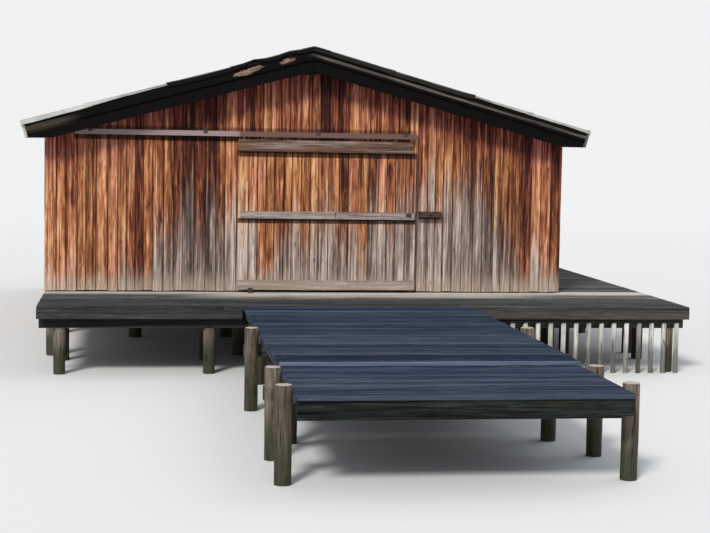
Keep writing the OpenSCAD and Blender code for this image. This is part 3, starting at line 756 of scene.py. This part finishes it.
wall_nails, deck_nails, door_nails = Solids(), Solids(), Solids()
for wall in (
    ("front_left_boards", "front_wall_left", -BACK, (0.06, 0.95, 1.86), front_look),
    ("front_right_boards", "front_wall_right", -BACK, (0.06, 0.95, 1.86), front_look),
    ("front_gable_boards", "front_gable", -BACK, (2.1, 2.6), gable_look),
    ("rear_left_boards", "rear_wall_left", BACK, (-0.1, 0.95, 1.86), plain_look),
    ("rear_right_boards", "rear_wall_right", BACK, (-0.1, 0.95, 1.86), plain_look),
    ("rear_gable_boards", "rear_gable", BACK, (1.86, 2.5), plain_look),
    ("left_side_boards", "left_wall", -RIGHT, (-0.1, 0.95, 1.95), plain_look),
    ("right_side_boards", "right_wall", RIGHT, (0.06, 0.95, 1.95), plain_look),
):
    clad(*wall)


# Roof

FELT = 0.004
OVERHANG = 0.008
EAVE_OUT = 0.034
LAP = 0.1
# How far down the slope the topmost course ends and the lowest one starts, without their laps
TOP_JOIN, LOW_JOIN = 0.95, 2.78
# Where the front edge has lifted, left of the ridge: x, half its width, and its rise
LIFTS = ((0.754, 0.11, 0.02), (0.333, 0.07, 0.022))


def slope_point(side, s, y, n):
    """A point s down one side of the roof from the ridge, n above its top face."""
    return Vector((side * (s * COS + n * SIN), y, RIDGE - s * SIN + n * COS))


def felt_course(solids, side, high, low, flaps, laid, tar=0.0, eave=0.0, step=0.16, spans=44):
    """One course of felt from high to low down the slope, laid so far above the roof's face, and
    turned down over both verges by flaps at its upper and lower edge. tar is how black its front
    flap is, eave its drop at the eave."""
    front, back = -VERGE - OVERHANG - laid, LENGTH + VERGE + OVERHANG + laid
    steps = max(5, round((low - high) / step))
    down = [(high + (low - high) * i / steps, 0.0) for i in range(steps + 1)]
    if eave:
        down += [(low + 0.003, -0.3 * eave), (low + 0.004, -eave)]
    run = [front + 0.02 + (back - front - 0.04) * i / spans for i in range(spans + 1)]
    run[1:1] = [front + 0.06, front + 0.12]
    across = [(front - 0.001, 1.0), (front, 0.5), (front + 0.002, 0.2), *((y, 0.0) for y in run),
              (back - 0.002, 0.2), (back, 0.5), (back + 0.001, 1.0)]
    if side > 0:
        across.reverse()

    def height(s, y, flap):
        """How high the felt lies. It has slow waves, a raised lower edge, uneven flaps, and lifts."""
        n = laid + 0.0035 * noise.noise(Vector((s * 1.4, y * 0.8, side * 5 + laid * 900)))
        if not eave:
            n += 0.006 * math.exp(-((s - low) / 0.05) ** 2)
        if flap:
            n += 0.008 * noise.noise(Vector((s * 4, 7.3 if y < 0 else 2.1, side)))
        if side < 0 and y < 0.1:
            for x, wide, rise in LIFTS:
                near = math.exp(-((s * COS - x) / wide) ** 2)
                n += near * rise * max(0.0, 1 - (y - front) / 0.4)
                flap *= 1 - 0.7 * near
        return n - flap

    grid = []
    for s, drop in down:
        flap = lerp(*flaps, (s - high) / (low - high))
        grid.append([slope_point(side, s, y, height(s, y, flap * share) + drop) for y, share in across])
    offset = rng.uniform(0, 30)
    fronts = [share > 0 and y < 0 for y, share in across]
    pale = 0.45 if side > 0 else 1.0
    shell(solids, grid, FELT, lambda i, j: (down[i][0] + offset, 0.0, across[j][0]),
          lambda i, j: (0.5, tar * fronts[j], pale * fronts[j]))


def ridge_strip(solids, spans=46, bend=0.02, lift=0.012):
    """The strip of felt along the ridge, turned down over both verges."""
    front, back = -VERGE - 2 * OVERHANG, LENGTH + VERGE + 2 * OVERHANG
    run = [(front - 0.001, -0.04), (front - 0.001, -0.015),
           *((lerp(front, back, i / spans), 0.0) for i in range(spans + 1)),
           (back + 0.001, -0.015), (back + 0.001, -0.04)]
    spread = (-0.2, -0.12, -0.05, -0.015, 0.0, 0.015, 0.05, 0.12, 0.2)
    grid = []
    for x in spread:
        z = RIDGE - SLOPE * math.hypot(x, bend) + lift
        grid.append([Vector((x, y, z + 0.002 * noise.noise(Vector((x * 5, y * 0.9, 3))) + dip))
                     for y, dip in run])
    shell(solids, grid, FELT, lambda i, j: (spread[i] + 50, 0.0, run[j][0]),
          lambda i, j: (0.5, float(run[j][1] < 0), 0.0))


lower, upper, ridge = Solids(), Solids(), Solids()
for side, join, flaps, drop, tar in (
    (-1, 1.85, (0.02, 0.04, 0.058), 0.045, 1.0),
    (1, 2.1, (0.022, 0.028, 0.032), 0.02, 0.85),
):
    felt_course(lower, side, LOW_JOIN, EDGE + EAVE_OUT, flaps[1:], -0.004, eave=drop)
    felt_course(lower, side, join - LAP, LOW_JOIN + LAP, flaps[:2], -0.001)
    felt_course(upper, side, TOP_JOIN, join, (0.056, 0.056), 0.003, tar)
    felt_course(upper, side, 0.0, TOP_JOIN + LAP, (0.054, 0.054), 0.0055, tar)
ridge_strip(ridge)
lower_felt = felt_material(
    "lower_felt", evenly((0.15, 0.154, 0.142), (0.33, 0.338, 0.316), (0.56, 0.57, 0.54)), 0.5, 0.85)
upper_felt = felt_material(
    "upper_felt", evenly((0.09, 0.092, 0.085), (0.21, 0.215, 0.2), (0.4, 0.405, 0.38)), 0.6)
lower.make("roof_felt_lower", lower_felt, "roofing_felt", "roof_felt", smooth=50)
upper.make("roof_felt_upper", upper_felt, "roofing_felt", "roof_felt", smooth=50)
ridge.make("ridge_felt", upper_felt, "roofing_felt", "ridge_cap", smooth=50)


def roof_boarding(depth=0.0315, thick=0.023, gap=0.001, overhang=0.27, first_joint=0.104, rafter_pitch=1.099):
    """The boards under the felt, in lengths that end over rafters."""
    solids = Solids()
    joints = spaced(first_joint, rafter_pitch, 9)
    for side in (-1, 1):
        down = Vector((side * COS, 0, -SIN))
        out = Vector((side * SIN, 0, COS))
        for row, (a, b) in enumerate(fill(0.004, EDGE - 0.001, pitch=0.142, spread=0.05, gap=0.005), 1):
            ends = [-overhang, *(joints[k] for k in ((3, 6), (2, 5), (4, 7))[row % 3]), LENGTH + overhang]
            for y0, y1 in zip(ends, ends[1:]):
                plank(solids, slope_point(side, a, y0 + gap, -depth), BACK, down, out, y1 - y0 - 2 * gap,
                      b - a, thick, rng.gauss(0.5, 0.18), bow=0.0004, cup=0.0003, step=1.1, ease=0.0015)
    solids.make("roof_boarding", sarking_wood, "roof_boards", "roof_boards")


roof_boarding()


# Door

def door_look(x):
    """Two boards are pale ones, at the door's left edge and left of its middle."""
    if x < LEAF[0].x + 0.12 or abs(x + 0.2) < 0.06:
        return 0.82, 0.6
    return front_look(x)


def door_leaf(rebate=0.007, cover=0.03, uneven=0.006, short=0.004):
    """Upright boards, and the dark rebates that show between them."""
    solids = Solids()
    low, high = LEAF
    edges = fill(low.x, high.x, pitch=0.118, spread=0.16, gap=0.006)
    for a, b in zip(edges, edges[1:]):
        plank(solids, Vector((a[1] - cover, high.y - rebate, low.z)), UP, RIGHT, BACK, high.z - low.z - short,
              b[0] - a[1] + 2 * cover, rebate, 0.15, ease=0.001, bow=0.0, cup=0.0, step=1.0)
    for a, b in edges:
        tone, bleach = door_look((a + b) / 2)
        start = Vector((a, high.y - rebate, low.z + rng.uniform(0, uneven)))
        plank(solids, start, UP, RIGHT, -BACK, high.z - low.z - uneven, b - a, high.y - low.y - rebate, tone,
              bleach=bleach, bow=0.0008, cup=0.0006, step=0.47)
    solids.make("door_planks", door_wood, "door_timber", "door_boards", body="door")


def door_ledges(split=0.33, joint=0.002, nail_pitch=0.112, first_nail=0.05, last_nail=0.02, proud=0.0002):
    """The boards across the door, nailed in pairs. The middle one is in two lengths."""
    solids = Solids()
    low, high = house_box("door_ledges")
    left, right = LEAF[0].x, LEAF[1].x
    for x0, x1, (z0, z1), tone, bleach in (
        (left, right - 0.045, HEADER, 0.42, 0.3),
        (left, right, BOTTOM, 0.5, 0.95),
        (left + 0.03, split - joint, MIDDLE, 0.75, 0.9),
        (split + joint, right - 0.015, MIDDLE, 0.62, 0.8),
    ):
        plank(solids, Vector((x0, high.y, z0)), RIGHT, UP, -BACK, x1 - x0, z1 - z0, high.y - low.y, tone,
              bleach=bleach, bow=0.001, step=0.3, ease=0.003)
        x = x0 + first_nail
        while x < x1 - last_nail:
            for share in (0.25, 0.75):
                spot = Vector((x + rng.uniform(-0.01, 0.01), low.y - proud,
                               lerp(z0, z1, share) + rng.uniform(-0.008, 0.008)))
                stud(door_nails, spot, -BACK, *LEDGE_NAIL)
            x += nail_pitch
    solids.make("door_ledge_boards", ledge_wood, "door_timber", "door_ledges", body="door")


door_leaf()
door_ledges()


# Decks and floors

def deck(name, node, kind, boxes=None, seams=((),), tone=(0.5, 0.16), lines=(), highlight_first=False,
         uneven=0.006, joint=0.0015, wear=0.0015, wander=0.008, sunk=0.0003):
    """Planks along X over each box, split at the seams that a plank's row picks, and nailed along
    the lines. kind is their material, its slot and their pitch."""
    material, slot, pitch = kind
    solids = Solids()
    for low, high in boxes or [house_box(node)]:
        for row, (a, b) in enumerate(fill(low.y, high.y, pitch, spread=0.05, gap=0.009)):
            cuts = [low.x, *seams[row % len(seams)], high.x]
            for k, (x0, x1) in enumerate(zip(cuts, cuts[1:])):
                left = rng.uniform(0, uneven) if k == 0 else joint
                right = rng.uniform(0, uneven) if k == len(cuts) - 2 else joint
                thick = high.z - low.z - rng.uniform(0, wear)
                # A bleaching of 2 marks the step's plank for its painted highlight
                plank(solids, Vector((x0 + left, a, low.z)), RIGHT, BACK, UP, x1 - x0 - left - right, b - a,
                      thick, around(*tone, 0.02, 0.98), bleach=2.0 if highlight_first and row == 0 else None,
                      bow=0.0006, cup=0.0012, ease=0.004, step=0.5)
            for x in lines:
                for share in (0.22, 0.78):
                    spot = Vector((x + rng.uniform(-wander, wander), lerp(a, b, share), high.z - sunk))
                    stud(deck_nails, spot, UP, *DECK_NAIL)
    solids.make(name, material, slot, node)


OUTER = (platform_wood, "deck_timber", 0.138)
JETTY = (jetty_wood, "deck_timber", 0.142)
FLOOR = (floor_wood, "floor_timber", 0.14)
stringers = spaced(-0.85, 0.8403, 4)
deck("platform_planking", "platform_deck", OUTER, seams=((-1.15, 1.6), (-0.2,), (0.9, 2.8), (-1.9, 0.4)),
     lines=spaced(-3.17, 0.937, 9))
deck("jetty_planking", "jetty_deck", JETTY, tone=(0.5, 0.28), lines=stringers, highlight_first=True)
deck("stage_planking", "shore_stage", JETTY, tone=(0.45, 0.2), lines=stringers)
deck("walkway_planking", "walkway_deck", OUTER, tone=(0.4, 0.16), lines=(3.33, 4.32))

# The floor inside the door reaches out through the doorway
doorway_left, doorway_right = house_box("front_wall_left")[1].x, house_box("front_wall_right")[0].x
low, high = house_box("landing_floor")
inner_y = low.y + 0.121
deck("landing_planking", "landing_floor", FLOOR,
     [(Vector((low.x, inner_y + 0.003, low.z)), high),
      (Vector((doorway_left, low.y, low.z)), Vector((doorway_right, inner_y, high.z)))],
     seams=((), (), (-0.8,)))
slip = house_box("rear_wall_right")[0].x
low, high = house_box("slip_walks")
deck("slip_walk_planking", "slip_walks", FLOOR,
     [(low, Vector((-slip, high.y, high.z))), (Vector((slip, low.y, low.z)), high)])


# Timbers and logs

def node_mesh(node):
    """A node's mesh to work on, with its doubled points joined."""
    work = bmesh.new()
    work.from_mesh(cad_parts[node].data)
    bmesh.ops.remove_doubles(work, verts=work.verts, dist=1e-5)
    return work


def islands(mesh):
    """The loose parts of a bmesh, each a list of vertices."""
    seen, parts = set(), []
    for first in mesh.verts:
        if first in seen:
            continue
        part, todo = [], [first]
        seen.add(first)
        while todo:
            v = todo.pop()
            part.append(v)
            for w in (e.other_vert(v) for e in v.link_edges):
                if w not in seen:
                    seen.add(w)
                    todo.append(w)
        parts.append(part)
    return parts


def timber_axes(run):
    """Two directions across a timber, and its run."""
    side = run.cross(UP if abs(run.z) < 0.9 else BACK).normalized()
    return side, run.cross(side), run


def timbers(name, node, material, slot, bevel=0.004, plain=48):
    """The node's own timbers with eased arrises, and the grain along each one. One with up to plain
    points counts as a plain timber."""
    work = node_mesh(node)
    bmesh.ops.dissolve_limit(work, angle_limit=0.01, verts=work.verts, edges=work.edges)
    axes = []
    for part in islands(work):
        longest = max((e for v in part for e in v.link_edges), key=lambda e: round(e.calc_length(), 4))
        axes.append(timber_axes((longest.verts[1].co - longest.verts[0].co).normalized()))
    sharp = [e for e in work.edges if len(e.link_faces) == 2 and e.calc_face_angle() > 0.5]
    bmesh.ops.bevel(work, geom=sharp, offset=bevel, segments=1, affect="EDGES")
    grain, look, points, order = [], [], [], {}
    for part, ways in zip(islands(work), axes):
        middle = sum((v.co for v in part), Vector()) / len(part)
        spots = [v.co - middle for v in part]
        tone, bleach = rng.gauss(0.5, 0.16), rng.random()
        shift = (rng.uniform(-0.03, 0.03), rng.uniform(0.02, 0.08), rng.uniform(0, 40))
        spans = [max(p.dot(d) for p in spots) - min(p.dot(d) for p in spots) for d in (RIGHT, BACK, UP)]
        main = (RIGHT, BACK, UP)[spans.index(max(spans))]
        # The longest edge of a plain timber can lie across it, but its grain never does
        if len(part) <= plain and abs(ways[2].dot(main)) < 0.5:
            ways = timber_axes(main)
        for v, p in zip(part, spots):
            order[v] = len(points)
            points.append(v.co - HOME)
            grain.append([p.dot(way) + offset for way, offset in zip(ways, shift)])
            look.append((tone, 0.0, bleach))
    faces = [[order[v] for v in f.verts] for f in work.faces]
    work.free()
    solids = Solids()
    solids.add(points, faces, grain, look)
    solids.make(name, material, slot, node)


def logs(name, node, material, rough, sides):
    """A log for each solid of the node, on that solid's axis."""
    work = node_mesh(node)
    solids = Solids()
    for part in islands(work):
        xs, ys, zs = zip(*(v.co - HOME for v in part))
        log(solids, (min(xs) + max(xs)) / 2, (min(ys) + max(ys)) / 2, min(zs), max(zs), max(xs) - min(xs),
            around(0.5, 0.15, 0.1, 0.9), rough, sides)
    work.free()
    solids.make(name, *material, node, smooth=60)


for name, node in (("wall_rails", "wall_girts"), ("braces", "knee_braces"),
                   ("sills_and_slip_beams", "floor_beams"), ("floor_joist_timbers", "floor_joists")):
    timbers(name, node, frame_boards, "frame_timber")
timbers("deck_joist_timbers", "deck_joists", damp_and_shaded_boards, "deck_frame_timber")

pile_logs = log_material("pile_logs", evenly((0.05, 0.04, 0.03), (0.14, 0.115, 0.09), (0.28, 0.245, 0.2)),
                         0.9, 0.5, (0.5, 0.46, 0.4))
pole_logs = log_material(
    "palisade_poles", evenly((0.26, 0.25, 0.225), (0.52, 0.505, 0.465), (0.74, 0.73, 0.7)),
    0.7, 0.12, (0.68, 0.66, 0.61))
logs("jetty_and_deck_logs", "deck_piles", (pile_logs, "pile_timber"), 0.06, 18)
logs("house_logs", "house_piles", (pile_logs, "pile_timber"), 0.06, 18)
logs("palisade_logs", "palisade", (pole_logs, "pole_timber"), 0.09, 12)


# CAD nodes that stay, with eased edges and their own materials

def keep(node, material, bevel):
    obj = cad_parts[node]
    for slot in obj.material_slots:
        slot.material = material
    obj.modifiers.new("weld", "WELD").merge_threshold = 1e-5
    ease = obj.modifiers.new("ease", "BEVEL")
    ease.width = bevel
    ease.limit_method = "ANGLE"
    ease.angle_limit = math.radians(30)


def timber(name, axis, tones=FRAME_TONES, greys=FRAME_GREYS, weather=0.35, **facts):
    return wood(name, tones, greys, weather, timber_source(axis), **facts)


def painted_shade_ends(look, colour):
    """The ends that stand out under the verge are painted black, as the shade they lie in."""
    inside = look.span(look.xyz[1], 0.0, LENGTH, 0.01)
    return look.mix(look.math("SUBTRACT", 1.0, inside), colour, (0.004, 0.003, 0.003))


def shaded_right(look, colour):
    """The right eave's board is painted darker, as the shade it lies in."""
    return look.shade(colour, look.step(look.xyz[0], -0.1, 0.1), (0.2, 0.19, 0.175))


def barge_material():
    """Tarred boards, painted lighter in a band on the right where light catches the cover board's lower edge,
    greyed at the left tip, and worn to bare wood in two places at the left verge of the front gable."""
    look = Look("bargeboard_tar")
    p = timber_source("slope")(look)[0]
    x, y = look.xyz[:2]
    depth = look.roof_depth()
    streak = look.noise(p, (46, 46, 1.4), 4.0, 0.6, 0.4)
    broad = look.noise(p, (8, 8, 1.1), 4.0)
    rag = look.noise(p, (26, 26, 9), 3.0, 0.6, 0.6)
    fine = look.noise(p, (300, 300, 8), 2.0)
    colour = look.ramp(look.add((streak, 0.8, 0.1), (broad, 0.5)),
                       *evenly((0.0015, 0.001, 0.001), (0.005, 0.004, 0.004), (0.018, 0.014, 0.014)))
    low = look.add(depth, (streak, 0.03))
    # A painted highlight along the lit lower edge of the cover board, on the right
    lit_band = look.times(look.span(low, 0.088, 0.112, 0.008), look.step(x, -0.1, 0.2, 0.9))
    colour = look.mix(lit_band, colour, look.ramp(look.add(streak, (broad, 1.0)),
                                              (0.25, (0.03, 0.028, 0.026)), (0.75, (0.2, 0.18, 0.165))))
    tip = look.times(look.span(low, 0.1, 0.17, 0.02), look.step(x, -2.75, -3.1, 0.8))
    colour = look.mix(tip, colour, look.ramp(streak, (0.3, (0.02, 0.016, 0.013)), (0.7, (0.1, 0.078, 0.06))))

    def bare_spot(middle, wide, deep, high=0.033, slant=0.07):
        """A ragged oval that lies at a slant to the board."""
        off = look.math("SUBTRACT", x, middle)
        dx = look.math("DIVIDE", off, wide)
        level = look.math("SUBTRACT", look.math("MULTIPLY_ADD", off, slant, depth), deep)
        dz = look.math("DIVIDE", level, high)
        far = look.math("ADD", look.times(dx, dx), look.times(dz, dz))
        return look.step(look.add(far, (streak, 2.4), (rag, 5.0)), 1.15, 0.6)

    bare = look.math("MAXIMUM", bare_spot(-0.8, 0.19, 0.1), bare_spot(-0.315, 0.11, 0.088))
    wooden = look.ramp(look.add((streak, 1.4, 0.2), (rag, 1.8), (fine, 0.6), (x, -0.5, -0.7)),
                       (0.0, (0.06, 0.035, 0.025)), (0.4, (0.22, 0.14, 0.1)),
                       (0.75, (0.46, 0.36, 0.32)), (1.0, (0.62, 0.54, 0.5)))
    colour = look.mix(look.times(bare, look.step(y, -0.29, -0.3)), colour, wooden)
    height = look.add((streak, 0.7), (fine, 0.3))
    return look.end(look.surface(colour, look.add(0.8, (broad, 0.3)), height, 0.0015, specular=0.06))


post_wood = timber("post_wood", "z")
rusty = steel_material("rusty_steel", evenly((0.02, 0.013, 0.011), (0.07, 0.036, 0.024)), 0.22, 0.6)
for node, material, bevel in (
    ("wall_posts", post_wood, 0.004),
    ("king_posts", post_wood, 0.003),
    ("wall_plates", timber("plate_wood", "y"), 0.004),
    ("ridge_beam", timber("ridge_beam_wood", "y", marks=painted_shade_ends), 0.004),
    ("tie_beams", timber("tie_wood", "x"), 0.004),
    ("rafters", timber("rafter_wood", "slope"), 0.003),
    ("deck_crossbeams", timber("crossbeam_wood", "x", DARK_TONES, DARK_GREYS, 0.5), 0.005),
    # The riser's near-black tones are partly painted shade, as the jetty's end stands in shade
    ("shore_riser", timber(
        "riser_wood", "x", evenly((0.004, 0.005, 0.005), (0.012, 0.015, 0.014), (0.038, 0.043, 0.038)),
        evenly((0.006, 0.008, 0.008), (0.017, 0.022, 0.021), (0.052, 0.06, 0.057)), 0.5,
        specular=0.03), 0.004),
    ("eave_boards", timber(
        "eave_wood", "y", evenly((0.3, 0.3, 0.29), (0.5, 0.5, 0.485), (0.66, 0.665, 0.65)),
        evenly((0.25, 0.25, 0.24), (0.45, 0.455, 0.445), (0.64, 0.65, 0.64)), 0.5, stains=0.4,
        marks=shaded_right), 0.003),
    ("hasp_block", timber(
        "hasp_block_wood", "x", evenly((0.008, 0.003, 0.003), (0.026, 0.01, 0.008), (0.09, 0.04, 0.03)),
        evenly((0.012, 0.007, 0.006), (0.04, 0.025, 0.021), (0.11, 0.08, 0.07)), 0.3), 0.003),
    ("bargeboards", barge_material(), 0.003),
    ("door_track", steel_material(
        "track_paint", evenly((0.2, 0.14, 0.135), (0.31, 0.235, 0.225), (0.44, 0.36, 0.345)),
        0.12, 0.6, LEAF[0].x), 0.0015),
    ("track_brackets", rusty, 0.001),
    ("door_guide", rusty, 0.001),
    ("hasp_leaf", rusty, 0.0008),
    ("hasp_strap", rusty, 0.0008),
    ("hasp_staple", rusty, 0.0006),
    ("door_trolleys", steel_material(
        "roller_steel", evenly((0.05, 0.045, 0.042), (0.17, 0.155, 0.145)), 0.1, 0.35), 0.001),
):
    keep(node, material, bevel)


# Fixings

# The radius, height, number of sides and share of flat top of a head
BRACKET_BOLT = (0.006, 0.005, 6, 0.95)
LEAF_SCREW = (0.006, 0.002, 10)
STAPLE_SCREW = (0.0045, 0.0018, 8)


def screws(solids, x, y, z, dxs, dzs, head):
    """Heads on the front, at these distances to the right of a place and above it."""
    for dx in dxs:
        for dz in dzs:
            stud(solids, Vector((x + dx, y, z + dz)), -BACK, *head)


bracket_top = house_box("track_brackets")[1].z
for x in (-2.7, -1.3, 0.1, 1.2):
    screws(wall_nails, x, -0.005, bracket_top - 0.014, (-0.013, 0.013), (0,), BRACKET_BOLT)
low, high = house_box("hasp_leaf")
screws(wall_nails, high.x - 0.018, house_box("hasp_block")[0].y - 0.004, (low.z + high.z) / 2,
       (0,), (-0.017, 0.017), LEAF_SCREW)
low, high = house_box("hasp_staple")
screws(door_nails, (low.x + high.x) / 2, high.y - 0.003, (low.z + high.z) / 2,
       (-0.026, 0.026), (-0.017, 0.017), STAPLE_SCREW)
wall_nails.make("wall_nails", rusty, "rusty_steel")
deck_nails.make("deck_nails", rusty, "rusty_steel")
door_nails.make("door_nails", rusty, "rusty_steel", body="door")


# Stage, lights and camera

BACKDROP = (0.88, 0.885, 0.89)
DAYLIGHT = (0.93, 0.96, 1.0)


def floor_material():
    """A pale floor that fades into the backdrop far from the object."""
    look = Look("studio_floor")
    x, y = look.xyz[:2]
    haze = look.noise(look.place, (0.08, 0.08, 0.08), 2.0)
    pale = look.surface(look.ramp(haze, (0.3, (0.66, 0.665, 0.67)), (0.7, (0.68, 0.685, 0.69))), 0.95,
                        specular=0.05)
    away = look.math("SQRT", look.math("ADD", look.times(x, x), look.times(y, y)))
    glow = look.node("Emission", [BACKDROP])
    return look.end(look.node("MixShader", (look.step(away, 16.0, 38.0), pale, glow)))


def studio_floor(reach=160.0, level=-0.001):
    mesh = bpy.data.meshes.new("studio_floor")
    corners = [(-reach, -reach), (reach, -reach), (reach, reach), (-reach, reach)]
    mesh.from_pydata([(x, y, level) for x, y in corners], [], [(0, 1, 2, 3)])
    mesh.materials.append(floor_material())
    floor = add_object("studio_floor", mesh)


def studio_world():
    """A soft even light, behind which the camera sees a pale backdrop."""
    world = bpy.data.worlds.new("studio")
    bpy.context.scene.world = world
    graph = Graph(world)
    rays = graph.node("LightPath").node.outputs
    seen = rays["Is Camera Ray"]
    for ray in ("Is Glossy Ray", "Is Transmission Ray"):
        seen = graph.math("MAXIMUM", seen, rays[ray])
    light = graph.node("Background", (DAYLIGHT, 0.62))
    backdrop = graph.node("Background", (BACKDROP, 1.0))
    graph.node("OutputWorld", [graph.node("MixShader", (seen, light, backdrop))])


def sun(name, toward, strength, angle, colour):
    data = bpy.data.lights.new(name, "SUN")
    data.energy = strength
    data.angle = math.radians(angle)
    data.color = colour
    obj = add_object(name, data)
    obj.rotation_mode = "QUATERNION"
    obj.rotation_quaternion = Vector(toward).to_track_quat("-Z", "Y")


def add_camera(eye, roll, margin, sensor=36, aspect=710 / 533):
    """The photo's point of view, turned and zoomed so that the whole object fills the frame."""
    corners = (v.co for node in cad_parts.values() for v in node.data.vertices)
    points = {tuple(round(c, 2) for c in corner) for corner in corners}
    rays = [Vector(p) - eye for p in points]
    aim = sum((r.normalized() for r in rays), Vector()).normalized()
    for _ in range(8):
        turn = aim.to_track_quat("-Z", "Y") @ Quaternion((0, 0, 1), roll)
        local = [turn.inverted() @ r for r in rays]
        across = [p.x / -p.z for p in local]
        up = [p.y / -p.z for p in local]
        aim = turn @ Vector(((min(across) + max(across)) / 2, (min(up) + max(up)) / 2, -1)).normalized()
    data = bpy.data.cameras.new("camera")
    data.sensor_width = sensor
    data.lens = sensor / (margin * max(max(across) - min(across), (max(up) - min(up)) * aspect))
    data.clip_end = 500
    camera = add_object("camera", data)
    camera.location = eye
    camera.rotation_mode = "QUATERNION"
    camera.rotation_quaternion = turn
    bpy.context.scene.camera = camera


studio_floor()
studio_world()
sun("key", (0.55, 1.0, -0.95), 2.9, 13, (1.0, 0.97, 0.92))
sun("rim", (-0.8, -0.5, -0.8), 0.5, 40, (0.9, 0.95, 1.0))
bpy.context.scene.view_settings.view_transform = "Standard"
add_camera(HOME + Vector((-2.1689, -19.0823, 1.8938)), 0.0176, 1.06)
